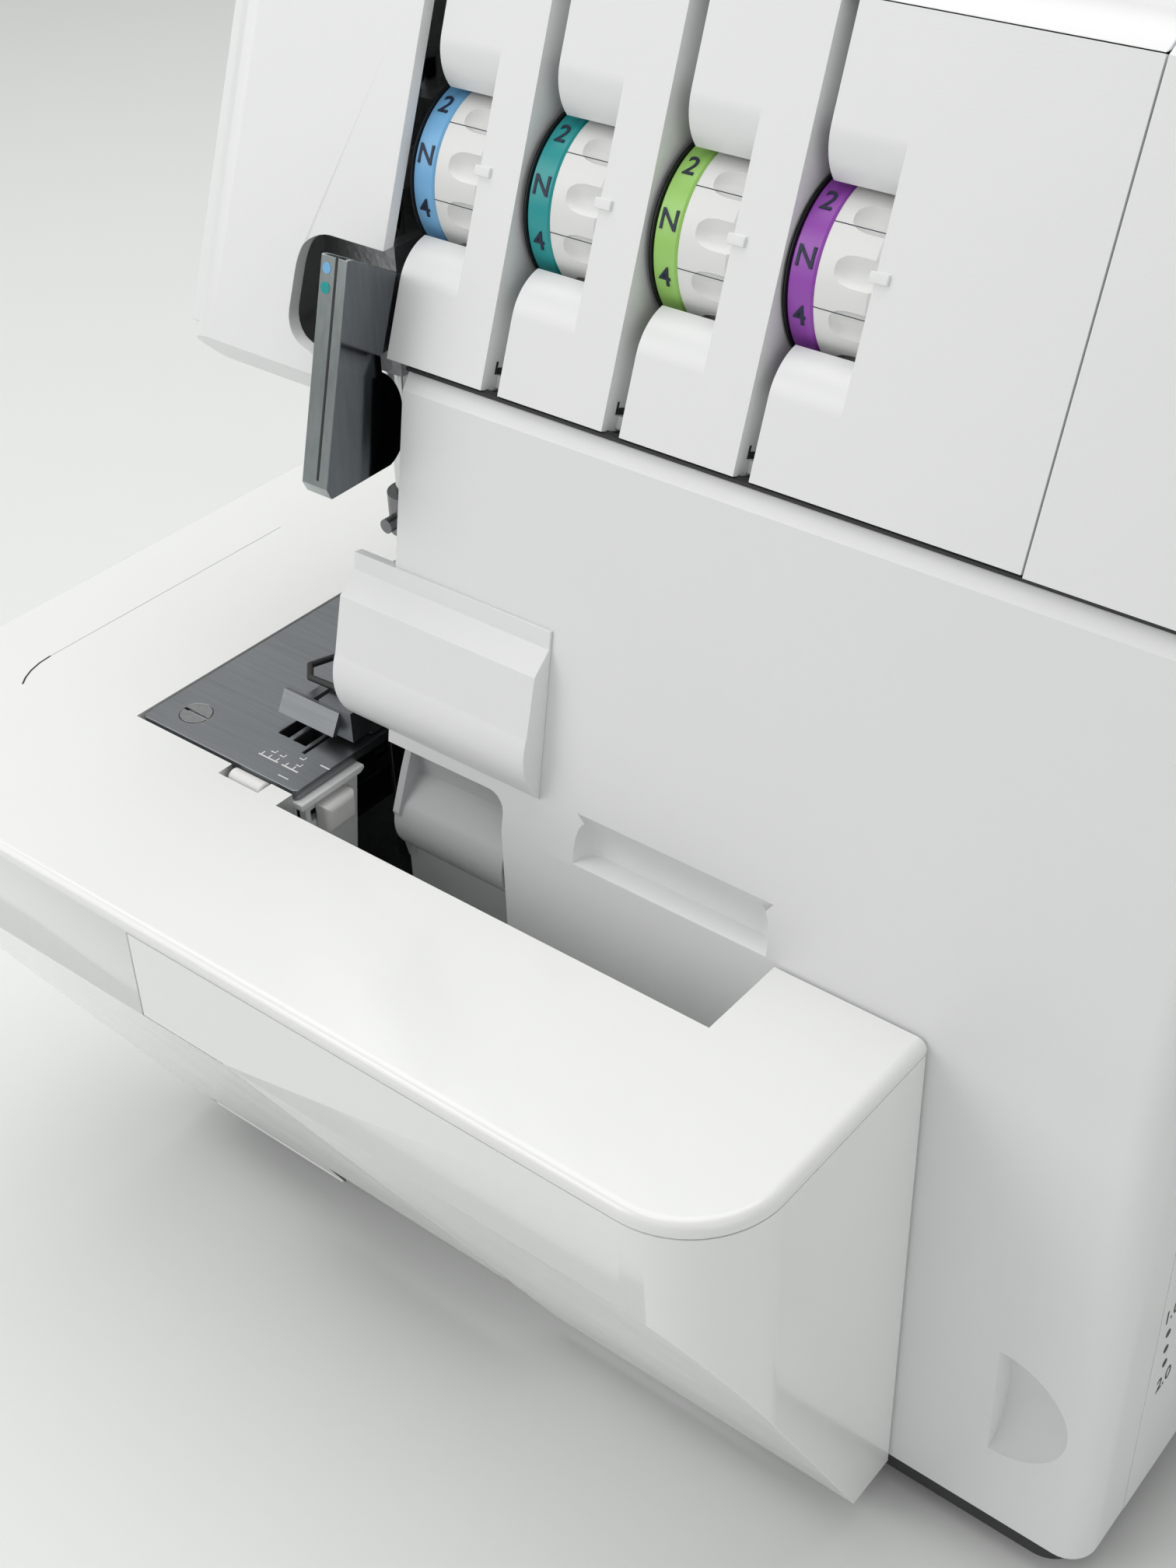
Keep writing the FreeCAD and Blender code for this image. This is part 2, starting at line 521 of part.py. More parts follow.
def make_chute():
    chute = Piece("waste_chute")
    chute.pad("YZ", "-98", "step_x - gap",
              [("7", "139"), ("7", "129"), ("5.5", "128"), ("1.4", "124", "9"), ("1.4", "113"), ("3.4", "110.5"),
               ("3.4", "base_top"), ("6.4", "base_top"), ("6.4", "112"), ("4", "114.5"), ("4", "123.5"),
               ("9.6", "127.5"), ("9.6", "139")])
    chute.pad("YZ", "-98", "-96.2", [("9.8", "139"), ("6.6", "139"), ("3", "131"), ("-0.6", "122"), ("0.4", "119"),
                                     ("3", "108"), ("8", "108")])
    return chute


def make_plate():
    plate = Piece("needle_plate")
    bottom = "bed_top - plate_thick"
    plate.pad("XY", bottom, "bed_top", rectangle("plate_left", "plate_right", "plate_front", "plate_back"))
    slots = [rectangle("%s - %s/2" % (x, w), "%s + %s/2" % (x, w), "feed_front", "feed_back")
             for x, w in (("row_1", "row_1_width"), ("row_2", "row_2_width"))]
    needle_hole = rectangle("needle_x - 1.9", "needle_x + 1.9", "needle_y - 1.3", "needle_y + 1.3")
    finger_slot = rectangle("-120.1", "-119.3", "-4.4", "needle_y - 4")
    plate.pocket("XY", bottom + " - 1", "bed_top + 1", *slots, needle_hole, finger_slot,
                 ("circle", "plate_screw_x", "plate_screw_y", "2.1"))
    plate.pocket("XY", "bed_top - 1.8", "bed_top + 1", ("circle", "plate_screw_x", "plate_screw_y", "screw_head + 0.1"))
    plate.round("1.2", lambda middle, run: abs(run.z) > 1 and abs(run.x) < 0.01 and abs(run.y) < 0.01
                and middle.y < size("plate_front") + 0.2)
    screw = rod("screw_head_disc", "Z", "bed_top - 1.8", "bed_top", ("plate_screw_x", "plate_screw_y"), "screw_head")
    shank = rod("screw_shank", "Z", "bed_top - 8", "bed_top - 1.8", ("plate_screw_x", "plate_screw_y"), "2")
    kerf = block("screw_kerf", ("plate_screw_x - 4", "plate_screw_x + 4"),
                 ("plate_screw_y - 0.4", "plate_screw_y + 0.4"), ("bed_top - 0.8", "bed_top + 1"))
    node("needle_plate_screw", less("needle_plate_screw", joined("screw_body", screw, shank), kerf))


def make_bed():
    frame = Piece("bed_frame")
    under = "bed_top - plate_thick"
    frame.pad("XY", "base_top", "base_top + 5", rectangle("-154", "-113.6", "-8", "146"))
    frame.pad("XY", "base_top", under, rectangle("-154", "-134", "-8", "4"))
    frame.pad("XY", "base_top", under, rectangle("-154", "-113.6", "50", "56"))
    frame.pad("XY", "base_top", under, rectangle("-154", "-150", "-8", "56"))
    frame.pocket("XY", under + " - 10", under + " + 1", ("circle", "plate_screw_x", "plate_screw_y", "2.1"))
    frame.pocket("XZ", "49", "57", rectangle("row_1 - 2.05", "row_1 + 2.05", "102.95", "111.05"),
                 rectangle("row_2 - 2.05", "row_2 + 2.05", "102.95", "111.05"))
    arm = Piece("free_arm_cover")
    arm.pad("XY", "base_top + gap", under + " - 0.3",
            [("plate_left", "plate_front + 0.4"), ("-114", "plate_front + 0.4"), ("-114", "plate_front + 2.2"),
             ("plate_left + 2", "plate_front + 2.2"), ("plate_left + 2", "body_back - 2"), ("section_1", "body_back - 2"),
             ("section_1", "body_back"), ("plate_left", "body_back")])
    arm.pad("XY", "bed_top - 2.4", "bed_top", rectangle("plate_left", "section_1 - gap", "plate_back + gap", "body_back"))
    arm.pad("XY", under + " - 4", "bed_top - 2", rectangle("plate_left", "section_1 - gap", "body_back - 2", "body_back"))
    arm.pad("XY", under + " - 4", "bed_top - 2",
            rectangle("plate_left", "plate_left + 2", "plate_back + 2", "body_back"))
    bracket = Piece("stitch_finger_bracket")
    bracket.pad("YZ", "-113.6", "-111.4",
                [("0", "base_top"), ("0", "100"), ("3.2", "126.4"), ("3", "127.3"), ("-7.9", "127.3"),
                 ("-7.9", "base_top")])
    bracket.pad("YZ", "-113.6", "-109.2",
                [("3.2", "126.4"), ("3", "127.3"), ("-15.8", "127.3"), ("-15.8", "125.6"), ("2", "125.6")])
    bracket.pad("YZ", "-113.6", "-111.4",
                [("-7.5", "127.3"), ("-13", "127.3"), ("-13", "112"), ("-7.5", "104")])
    bracket.pocket("YZ", "-114", "-111", rectangle("-11.6", "0", "119.6", "122.6"))
    lever = Piece("stitch_finger_lever")
    lever.pad("YZ", "-111.1", "-107", rectangle("-10.6", "-1.8", "117.4", "124.2"))
    lever.round("1.6", lambda middle, run: middle.x > -107.1)
    lever.pad("YZ", "-115", "-111", rectangle("-7.6", "-4.2", "119.9", "122.3"))


def make_feed():
    for name, row, first, last, back in (("feed_dog_differential", "row_2", "4", "18", "64"),
                                         ("feed_dog_main", "row_1", "22", "42", "64")):
        dog = Piece(name)
        width = row + "_width"
        dog.pad("XY", "111", "bed_top - 0.9",
                rectangle("%s - %s/2 + 0.35" % (row, width), "%s + %s/2 - 0.35" % (row, width), first, last))
        dog.pad("XY", "103", "111", rectangle(row + " - 2", row + " + 2", first, back))


def make_needles():
    bar = rod("needle_bar_rod", "Z", "clamp_low", "bar_top", ("needle_x", "needle_y"), "bar_radius")
    node("needle_bar", bar)
    clamp = rod("clamp_disc", "Z", "clamp_low", "clamp_low + 9", ("needle_x", "needle_y"), "5.2")
    screw = rod("clamp_screw", "Y", "needle_y - 8.5", "needle_y - 4", ("needle_x", "clamp_low + 4"), "1.6")
    eye = rod("clamp_eye", "Z", "clamp_low - 1", "clamp_low + 10", ("needle_x", "needle_y"), "bar_radius")
    node("needle_clamp", less("needle_clamp", joined("clamp_body", clamp, screw), eye))
    pair = []
    for number, side in enumerate(("-", "+")):
        x = "needle_x %s needle_pitch/2" % side
        shank = rod("needle_shank_%d" % number, "Z", "clamp_low - 12", "clamp_low", (x, "needle_y"), "0.85")
        blade = rod("needle_blade_%d" % number, "Z", "clamp_low - 30", "clamp_low - 11", (x, "needle_y"), "0.2", "0.55")
        pair.append(joined("needle_%d" % number, shank, blade))
    node("needles", together("needles", *pair))


def make_presser():
    node("presser_bar", rod("presser_bar_rod", "Z", "foot_sole + 12", "presser_top", ("presser_x", "presser_y"),
                            "presser_radius"))
    foot = Piece("presser_foot")
    foot.pad("XY", "foot_sole", "foot_sole + 2", rectangle("-134", "-112.2", "9", "presser_y + 6"))
    foot.pad("YZ", "-132", "-115.4", [("0.6", "foot_sole + 2.6"), ("1.8", "foot_sole + 2.2"), ("4.4", "foot_sole + 7"),
                                      ("3.2", "foot_sole + 7.4")])
    foot.pad("XY", "foot_sole + 1", "foot_sole + 6", rectangle("-128", "-125.6", "3.6", "12"))
    foot.pad("XY", "foot_sole + 1", "foot_sole + 8.4", rectangle("-121.6", "-112.2", "3.4", "22"))
    foot.pad("XY", "foot_sole + 8", "foot_sole + 11.4", rectangle("-118", "-112.2", "6", "16"))
    foot.pad("XY", "foot_sole + 1", "foot_sole + 12",
             rectangle("presser_x - 5", "presser_x + 5", "presser_y - 6", "presser_y + 6"))
    foot.pocket("XY", "foot_sole - 1", "foot_sole + 3",
                rectangle("needle_x - 2.9", "needle_x + 3.4", "needle_y - 4", "needle_y + 3"))
    foot.bevel("0.8", lambda middle, run: middle.z > size("foot_sole") + 11.3 and middle.y < 19.1 and run.Length > 5)
    wire_z = size("foot_sole") + 9.4
    turns = [(-118.5, 8), (-128, 7.5), (-131.5, 11), (-128, 20.6), (-113.5, 20.6)]
    points = [Vector(x + size("datum_x"), y + size("datum_y"), wire_z) for x, y in turns]
    wire = Part.makePolygon(points)
    start = Part.Wire([Part.Circle(points[0], points[1] - points[0], 0.75).toShape()])
    loop = doc.addObject("Part::Feature", "foot_wire")
    loop.Shape = wire.makePipeShell([start], True, False, 2)
    node("foot_wire", loop)
    lifter = Piece("presser_lifter")
    lifter.pad("XZ", "112", "body_back + 4", ("circle", "presser_x", "lifter_z", "lifter_radius"))
    lifter.pad("XZ", "body_back + 2", "body_back + 7",
               [("presser_x + 5", "lifter_z - 5"), ("presser_x + 5", "lifter_z + 5", "6"),
                ("presser_x - 4", "lifter_z + 5"), ("presser_x - 30", "lifter_z + 3", "4"),
                ("presser_x - 30", "lifter_z - 3"), ("presser_x - 4", "lifter_z - 5")])
    lifter.bevel("0.6", lambda middle, run: middle.y > size("body_back") + 6.9 and abs(run.x) > 20)


def make_knives():
    blade = block("lower_blade", ("knife_face - 1.2", "knife_face"), ("12", "21"), ("96", "bed_top - 0.2"))
    post = block("lower_post", ("knife_face", "-104"), ("12", "21"), ("base_top", "112"))
    node("lower_knife", joined("lower_knife", blade, post))
    upper = Piece("upper_knife")
    left = "knife_face + 0.15"
    upper.pad("YZ", left, left + " + 1.5", [("13", "129"), ("20", "126.5"), ("20", "150"), ("13", "150")])
    upper.pad("XY", "141", "149", rectangle(left, "knife_rod_x + 3.5", "13", "21"))
    upper.pad("XY", "78", "142", ("circle", "knife_rod_x", "knife_rod_y", "knife_rod_radius"))
    upper.round("1.5", lambda middle, run: middle.x > size("knife_rod_x") + 3.4 and abs(run.z) > 5)


def make_loopers():
    lower = Piece("lower_looper")
    x, z = "lower_pivot_x", "lower_pivot_z"
    lower.pad("XZ", "29", "70", ("circle", x, z, "looper_radius"))
    lower.pad("XZ", "30", "33",
              [(x + " - 3", z + " - 2"), (x + " + 4", z + " - 2"), (x + " + 4", z + " + 5"), (x + " - 7", z + " + 42", "34"),
               (x + " - 21", z + " + 49.5"), (x + " - 21", z + " + 48.3"), (x + " - 11", z + " + 40")])
    upper = Piece("upper_looper")
    x, z = "upper_pivot_x", "upper_pivot_z"
    upper.pad("XZ", "39", "70", ("circle", x, z, "looper_radius"))
    upper.pad("XZ", "40", "43",
              [(x + " - 2", z + " - 3"), (x + " + 3", z + " - 3"), (x + " + 3", z + " + 3"), (x + " - 15", z + " + 14", "30"),
               (x + " - 27", z + " + 20"), (x + " - 27", z + " + 18.8"), (x + " - 15", z + " + 8")])


# ---------------------------------------------------------------- drive and frame

def make_frame():
    frame = Piece("machine_frame")
    frame.pad("XY", "base_top", "base_top + 8.6", rectangle("-60", "54", "70", "140"))
    frame.pad("XY", "base_top + 8", "235", rectangle("-60", "-35", "73.5", "125"))
    frame.pad("XY", "base_top + 8", "235", rectangle("-15", "8", "73.5", "125"))
    frame.pad("XY", "216", "246", rectangle("-132", "8", "73.5", "125"))
    frame.pad("XY", "204", "258", rectangle("-132", "-112.5", "62", "125"))
    frame.pad("XY", "207", "216", rectangle("-132", "-112.5", "needle_y - 6", "63"))
    frame.pad("XY", "226", "234", rectangle("-132", "-112.5", "needle_y - 5", "63"))
    frame.pad("XY", "248", "258", rectangle("-132", "-112.5", "needle_y + 10", "63"))
    frame.pad("YZ", "-113", "-106.4", ("circle", "takeup_pivot_y", "takeup_pivot_z", "2"))
    frame.pad("XZ", "60", "68", rectangle("-112", "-60", "60", "124"))
    frame.pad("XY", "60", "124", rectangle("-70", "-58", "60", "80"))
    frame.pad("XY", "80", "90", rectangle("knife_rod_x - 6", "-58", "11.5", "22"))
    frame.pad("XY", "80", "90", rectangle("-68", "-58", "20", "62"))
    frame.pocket("XY", "203", "260", ("circle", "needle_x", "needle_y", "bar_radius + running_gap"),
                 ("circle", "presser_x", "presser_y", "presser_radius + running_gap"))
    frame.pocket("XY", "79", "91", ("circle", "knife_rod_x", "knife_rod_y", "knife_rod_radius + running_gap"))
    frame.pocket("YZ", "-61", "9", ("circle", "shaft_y", "shaft_z", "shaft_radius + running_gap"))
    frame.pocket("XZ", "59", "69", ("circle", "lower_pivot_x", "lower_pivot_z", "looper_radius + running_gap"),
                 ("circle", "upper_pivot_x", "upper_pivot_z", "looper_radius + running_gap"))
    frame.pocket("XZ", "109", "126", ("circle", "presser_x", "lifter_z", "lifter_radius + running_gap"))
    return frame


def make_drive():
    node("main_shaft", rod("main_shaft_rod", "X", "-72", "wheel_left + 6", ("shaft_y", "shaft_z"), "shaft_radius"))
    right = "pulley_left + pulley_width"
    pulley = Piece("belt_pulley")
    pulley.pad("YZ", "pulley_left", right, ("circle", "shaft_y", "shaft_z", "pulley_radius"))
    pulley.pocket("YZ", "pulley_left - 1", right + " + 1", ("circle", "shaft_y", "shaft_z", "shaft_radius"))
    wheel = Piece("handwheel")
    end = "wheel_left + wheel_width"
    wheel.pad("YZ", "wheel_left", end, ("circle", "shaft_y", "shaft_z", "wheel_radius"))
    wheel.pocket("YZ", "wheel_left - 1", "wheel_left + 6", ("circle", "shaft_y", "shaft_z", "shaft_radius"))
    wheel.pocket("YZ", end + " - 5", end + " + 1", ("circle", "shaft_y", "shaft_z", "wheel_radius - 8"))
    wheel.pad("YZ", end + " - 6", end + " - 1", ("circle", "shaft_y", "shaft_z", "12"))
    wheel.round("3", lambda middle, run: middle.x > size(end) - 0.1 and run.Length < 0.1)
    motor = Piece("motor")
    motor.pad("YZ", "14", "52", ("circle", "shaft_y", "motor_z", "motor_radius"))
    motor.pad("XY", "base_top + 8.6", "motor_z - 10", rectangle("18", "48", "shaft_y - 20", "shaft_y + 20"))
    motor.round("3", lambda middle, run: (middle.x < 14.1 or middle.x > 51.9) and run.Length < 0.1)
    node("motor_pulley", joined("motor_pulley",
                                rod("motor_pulley_disc", "X", "pulley_left", right, ("shaft_y", "motor_z"), "motor_pulley"),
                                rod("motor_shaft", "X", "52.2", "pulley_left + 1", ("shaft_y", "motor_z"), "3")))
    node("drive_belt", make_belt())


def make_belt():
    """The belt round both pulleys: the outline that hugs two circles, less the same outline inside."""
    centre_y = size("shaft_y") + size("datum_y")
    high, low = size("shaft_z"), size("motor_z")
    left, width = size("pulley_left + 1 + datum_x"), size("pulley_width - 2")

    def loop(big, small):
        lean = math.asin((big - small) / (high - low))
        across, up = math.cos(lean), math.sin(lean)

        def spot(side, radius, height):
            return Vector(left, centre_y + side * radius * across, height - radius * up)
        edges = [Part.LineSegment(spot(1, small, low), spot(1, big, high)).toShape(),
                 Part.Arc(spot(1, big, high), Vector(left, centre_y, high + big), spot(-1, big, high)).toShape(),
                 Part.LineSegment(spot(-1, big, high), spot(-1, small, low)).toShape(),
                 Part.Arc(spot(-1, small, low), Vector(left, centre_y, low - small), spot(1, small, low)).toShape()]
        return Part.Face(Part.Wire(edges)).extrude(Vector(width, 0, 0))

    clear = 0.3
    inside = loop(size("pulley_radius") + clear, size("motor_pulley") + clear)
    outside = loop(size("pulley_radius + belt") + clear, size("motor_pulley + belt") + clear)
    belt = doc.addObject("Part::Feature", "drive_belt")
    belt.Shape = outside.cut(inside)
    return belt


def make_knobs():
    for name, y, z, radius in (("differential_dial", "feed_dial_y", "feed_dial_z", "feed_dial_radius"),
                               ("stitch_length_dial", "length_dial_y", "length_dial_z", "length_dial_radius")):
        dial = Piece(name)
        dial.pad("YZ", "body_right + 0.3", "body_right + knob_depth", ("circle", y, z, radius))
        dial.pad("YZ", "body_right - 5", "body_right + 1", ("circle", y, z, "4.2"))
        dial.pad("YZ", "body_right + knob_depth - 1", "body_right + knob_depth + 3",
                 rectangle(y + " - 1.8", y + " + 1.8", "%s - %s + 2" % (z, radius), "%s + %s - 2" % (z, radius)))
        dial.round("1.2", lambda middle, run: abs(middle.x - size("body_right + knob_depth")) < 0.1 and run.Length < 0.1)
    switch = Piece("power_switch")
    switch.pad("XY", "socket_z - 7", "socket_z + 7",
               [("body_right - 4", "switch_y - 10.6"), ("body_right + 0.8", "switch_y - 10.6"),
                ("body_right - 0.6", "switch_y"), ("body_right + 2.6", "switch_y + 10.2"),
                ("body_right - 3", "switch_y + 10.6"), ("body_right - 7", "switch_y")])
    inlet = Piece("power_inlet")
    inlet.pad("XZ", "inlet_y - 10", "inlet_y + 10", rectangle("body_right - 11.5", "body_right", "socket_z - 6", "socket_z + 6"))
    inlet.pocket("XZ", "inlet_y - 8", "inlet_y + 8", rectangle("body_right - 9.5", "body_right + 1", "socket_z - 4", "socket_z + 4"))
    for side in ("-", "+"):
        inlet.pad("YZ", "body_right - 10", "body_right - 2", ("circle", "inlet_y %s 4" % side, "socket_z", "1.2"))
    pedal = Piece("pedal_socket")
    pedal.pad("YZ", "body_right - 14", "body_right", ("circle", "pedal_y", "socket_z", "5"))
    pedal.pocket("YZ", "body_right - 12", "body_right + 1", ("circle", "pedal_y", "socket_z", "3.5"))


# ---------------------------------------------------------------- thread stand, handle and table

def make_stand():
    stand = Piece("spool_stand")
    stand.pad("XY", "stand_z", "stand_z + 6", rectangle("stand_left", "stand_right", "body_back", "stand_back"))
    stand.round("14", lambda middle, run: abs(run.z) > 5 and middle.y > size("stand_back") - 1)
    stand.pad("XZ", "body_back", "body_back + 4", rectangle("-60", "32", "stand_z - 14", "stand_z + 1"))
    xs = ["pin_first + %d*pin_pitch" % i for i in range(4)]
    stand.pocket("XY", "stand_z + 2", "stand_z + 7", *[("circle", x, "pin_y", "20") for x in xs])
    stand.pocket("XY", "stand_z - 1", "stand_z + 7", ("circle", "tree_x", "tree_y", "tree_outer"))
    pins, cones = [], []
    for number, x in enumerate(xs):
        centre = (x, "pin_y")
        pins.append(rod("pin_%d" % number, "Z", "stand_z + 2", "pin_top", centre, "pin_radius"))
        cone = rod("cone_%d_body" % number, "Z", "stand_z + 2", "stand_z + 24", centre, "13", "7")
        bore = rod("cone_%d_bore" % number, "Z", "stand_z + 1", "stand_z + 25", centre, "pin_radius + running_gap")
        cones.append(less("cone_%d" % number, cone, bore))
    node("spool_pins", together("spool_pins", *pins))
    node("cone_holders", together("cone_holders", *cones))
    centre = ("tree_x", "tree_y")
    tube = Piece("tree_tube")
    tube.pad("XY", "tree_low", "tree_top", ("circle", *centre, "tree_outer"))
    tube.pocket("XY", "tree_low - 1", "tree_top + 1", ("circle", *centre, "tree_inner"))
    head = Piece("thread_guide_head")
    low, high = "tree_top + 3", "tree_top + 7"
    head.pad("XY", "tree_low + 8", low + " + 1", ("circle", *centre, "tree_inner - running_gap"))
    head.pad("XY", low, high, rectangle("guide_left", "guide_right", "tree_y - 4", "tree_y + 4"))
    for i in range(4):
        x = "guide_left + 7 + %d*(guide_right - guide_left - 14)/3" % i
        head.pad("XY", low, high, ("circle", x, "tree_y - 10", "7"))
        head.pocket("XY", low + " - 1", high + " + 1", ("circle", x, "tree_y - 10", "3.6"))


def make_handle():
    handle = Piece("carrying_handle")
    low, high = "head_top + 0.3", "head_top + 7"
    handle.pad("XY", low, high, rectangle("handle_left", "handle_right", "handle_front", "handle_back"))
    handle.pocket("XY", low + " - 1", high + " + 1",
                  rectangle("handle_left + handle_bar", "handle_right - handle_bar", "handle_front + handle_bar",
                            "handle_back + 1"))
    handle.pocket("YZ", "handle_left - 1", "handle_right + 1",
                  ("circle", "handle_back - 3", "head_top + 3.65", "handle_pin + running_gap"))
    handle.round("2.5", lambda middle, run: middle.y < size("handle_front") + 0.1 and abs(run.x) > 20)
    handle.bevel("2.4", lambda middle, run: middle.y > size("handle_back") - 0.1 and abs(run.x) > 2
                 and middle.z < size("head_top") + 1)
    screws = []
    for number, (x, z) in enumerate([(x, z) for x in ("-92", "22") for z in ("20", "120", "200")]):
        screws.append(rod("case_screw_%d" % number, "Y", "body_back", "body_back + 1.6", (x, z), "3.5"))
    node("case_screws", together("case_screws", *screws))


def drawer_edge(shift):
    """The split line between table and drawer: down the front, along the crease, then aslant to the floor."""
    return [("drawer_left + " + shift, "table_crease + 0.2 + (%s)" % shift), ("drawer_knee + " + shift,
            "table_crease + 0.2 + (%s)" % shift), ("drawer_toe + " + shift, "table_low - 1")]


def outer_corner(side, inset="0"):
    """Picks the upright edge where the front meets one end of the table."""
    return lambda middle, run: (abs(run.z) > 5 and abs(run.x) < 0.1 and abs(run.y) < 0.1
                                and abs(middle.y - size("table_front + " + inset)) < 0.1
                                and abs(middle.x - size(side)) < 0.1)


def make_table():
    table = Piece("extension_table")
    clear = "-0.6"
    table.pad("XY", "table_low", "bed_top",
              [("table_right", clear), ("0", clear), ("0", "slot_front"), ("slot_step", "slot_front"),
               ("slot_step", "arm_front"), ("arm_side", "arm_front"), ("arm_side", "table_back"),
               ("table_left", "table_back"), ("table_left", "table_front"), ("table_right", "table_front")])
    table.round("corner_right", outer_corner("table_right"))
    table.round("corner_left", outer_corner("table_left"))
    far = "table_front - 20"
    front_bevel = [(far, "table_crease"), ("table_front", "table_crease"), ("bevel_foot", "table_low"),
                   ("bevel_foot", "table_low - 3"), (far, "table_low - 3")]
    table.pocket("YZ", "table_left - 1", "table_right + 1", front_bevel)
    side = "table_left - 20"
    table.pocket("XZ", "table_front - 1", "table_back + 1",
                 [(side, "table_crease"), ("table_left", "table_crease"), ("left_foot", "table_low"),
                  ("left_foot", "table_low - 3"), (side, "table_low - 3")])
    back = "slot_front - wall"
    under = "bed_top - wall"
    slope = "(bevel_foot - table_front)/(table_crease - table_low)"
    inner_foot = "table_crease - (%s - table_front - 2.7)/(%s)" % (back, slope)
    table.pocket("YZ", "left_foot + wall", "drawer_left - wall - gap",
                 [("table_front + wall", under), ("table_front + wall", "table_crease"), (back, inner_foot), (back, under)])
    table.pocket("XZ", far, back,
                 [("drawer_left - gap", "bed_top - 3"), *drawer_edge("-gap"), ("table_right + 1", "table_low - 1"),
                  ("table_right + 1", "bed_top - 3")])
    table.pocket("XY", "table_low - 1", "bed_top - 3", rectangle("wall", "table_right + 1", back + " - 1", "0.5"))
    table.pocket("XZ", back + " - 1", "0.5",
                 [("drawer_toe - 11", "table_low + 26"), ("drawer_toe - 1 - gap", "table_low - 1"),
                  ("table_right + 1", "table_low - 1"), ("table_right + 1", "table_low + 26")])
    table.pocket("XZ", "bevel_foot + wall + 0.6", "table_back - wall",
                 [("table_left + wall", under), ("table_left + wall", "table_crease"), ("left_foot + 2.6", "table_low + wall"),
                  ("arm_side - wall", "table_low + wall"), ("arm_side - wall", under)])
    table.round("2.2", lambda middle, run: abs(middle.z - size("bed_top")) < 0.01
                and (middle.y < size("table_front") + 14 or middle.x > size("table_right") - 6
                     or middle.x < size("table_left") + 6))
    outer = Piece("drawer_outside", exported=False)
    outer.pad("XY", "table_low", "drawer_top", rectangle("drawer_left - 10", "table_right", "table_front", clear))
    outer.round("corner_right", outer_corner("table_right"))
    outer.pocket("YZ", "drawer_left - 12", "table_right + 1", front_bevel)
    outer.pocket("XZ", far, "0",
                 [("drawer_left - 20", "bed_top"), ("drawer_left", "bed_top"), *drawer_edge("0"),
                  ("drawer_left - 20", "table_low - 1")])
    core = Piece("drawer_inside", exported=False)
    core.pad("XY", "table_low - 2", "drawer_top + 1",
             rectangle("drawer_left - 20", "table_right - wall", "table_front + wall", "5"))
    core.round("corner_right - wall", outer_corner("table_right - wall", "wall"))
    core.pocket("YZ", "drawer_left - 22", "table_right + 1",
                [(far, "table_crease"), ("table_front + wall", "table_crease"),
                 ("bevel_foot + wall", "table_low"), ("bevel_foot + wall", "table_low - 5"), (far, "table_low - 5")])
    tray = Piece("drawer_tray", exported=False)
    front, rear = "table_front + 13", "slot_front - wall - gap"
    tray.pad("XY", "tray_floor", "tray_floor + 36", rectangle("tray_left", "tray_right", front, rear))
    tray.pocket("XY", "tray_floor + wall", "tray_floor + 37",
                rectangle("tray_left + wall", "tray_right - wall", front + " + wall", rear + " - wall"))
    shell = less("drawer_shell", outer.body, core.body)
    node("accessory_drawer", joined("accessory_drawer", shell, tray.body))


make_base()
make_front_cover()
make_right_end()
make_rear_and_top()
make_head_cover()
make_tension_panel()
make_tension_dials()
make_guard()
make_knife_cover()
make_chute()
make_plate()
make_bed()
make_feed()
make_needles()
make_presser()
make_knives()
make_loopers()
make_frame()
make_drive()
make_knobs()
make_stand()
make_handle()
make_table()
doc.recompute()

problems = []
for thing in doc.Objects:
    if "Invalid" in thing.State or "Error" in thing.State:
        problems.append("%s is %s" % (thing.Name, thing.State))
for name, made in nodes.items():
    if made.Shape.isNull() or not made.Shape.isValid() or not made.Shape.Solids:
        problems.append("%s has no valid solid" % name)
if problems:
    raise SystemExit("\n".join(problems))

os.makedirs("parts", exist_ok=True)
for name, made in nodes.items():
    made.Shape.exportStep(os.path.join("parts", name + ".step"))
print("%d nodes written" % len(nodes))
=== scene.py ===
import json
import math

import bpy
from mathutils import Matrix, Vector

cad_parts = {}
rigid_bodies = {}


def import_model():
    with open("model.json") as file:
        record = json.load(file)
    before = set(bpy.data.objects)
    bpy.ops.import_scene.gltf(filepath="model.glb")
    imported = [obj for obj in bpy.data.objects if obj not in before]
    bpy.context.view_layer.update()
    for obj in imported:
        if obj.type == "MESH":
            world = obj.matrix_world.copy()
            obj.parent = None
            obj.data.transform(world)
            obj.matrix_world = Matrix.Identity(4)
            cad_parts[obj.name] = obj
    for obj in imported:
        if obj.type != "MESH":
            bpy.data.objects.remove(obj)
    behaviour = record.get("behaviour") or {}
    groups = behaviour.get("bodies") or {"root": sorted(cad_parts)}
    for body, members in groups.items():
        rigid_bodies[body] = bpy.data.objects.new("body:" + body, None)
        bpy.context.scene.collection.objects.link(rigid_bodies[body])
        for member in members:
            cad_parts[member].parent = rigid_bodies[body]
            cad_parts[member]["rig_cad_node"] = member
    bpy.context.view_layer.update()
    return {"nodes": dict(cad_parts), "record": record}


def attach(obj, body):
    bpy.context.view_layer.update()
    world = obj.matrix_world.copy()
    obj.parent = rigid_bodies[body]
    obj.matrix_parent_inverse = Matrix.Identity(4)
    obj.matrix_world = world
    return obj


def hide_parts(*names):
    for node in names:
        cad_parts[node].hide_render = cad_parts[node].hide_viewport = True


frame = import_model()

MM = 0.001
DATUM = Vector((59.25, -75.0, 0.0))      # the corner that the sizes below count from


def at(x, y, z):
    """A place given in millimetres from the machine's datum corner, in metres."""
    return (Vector((x, y, z)) + DATUM) * MM


# ------------------------------------------------------------------ materials

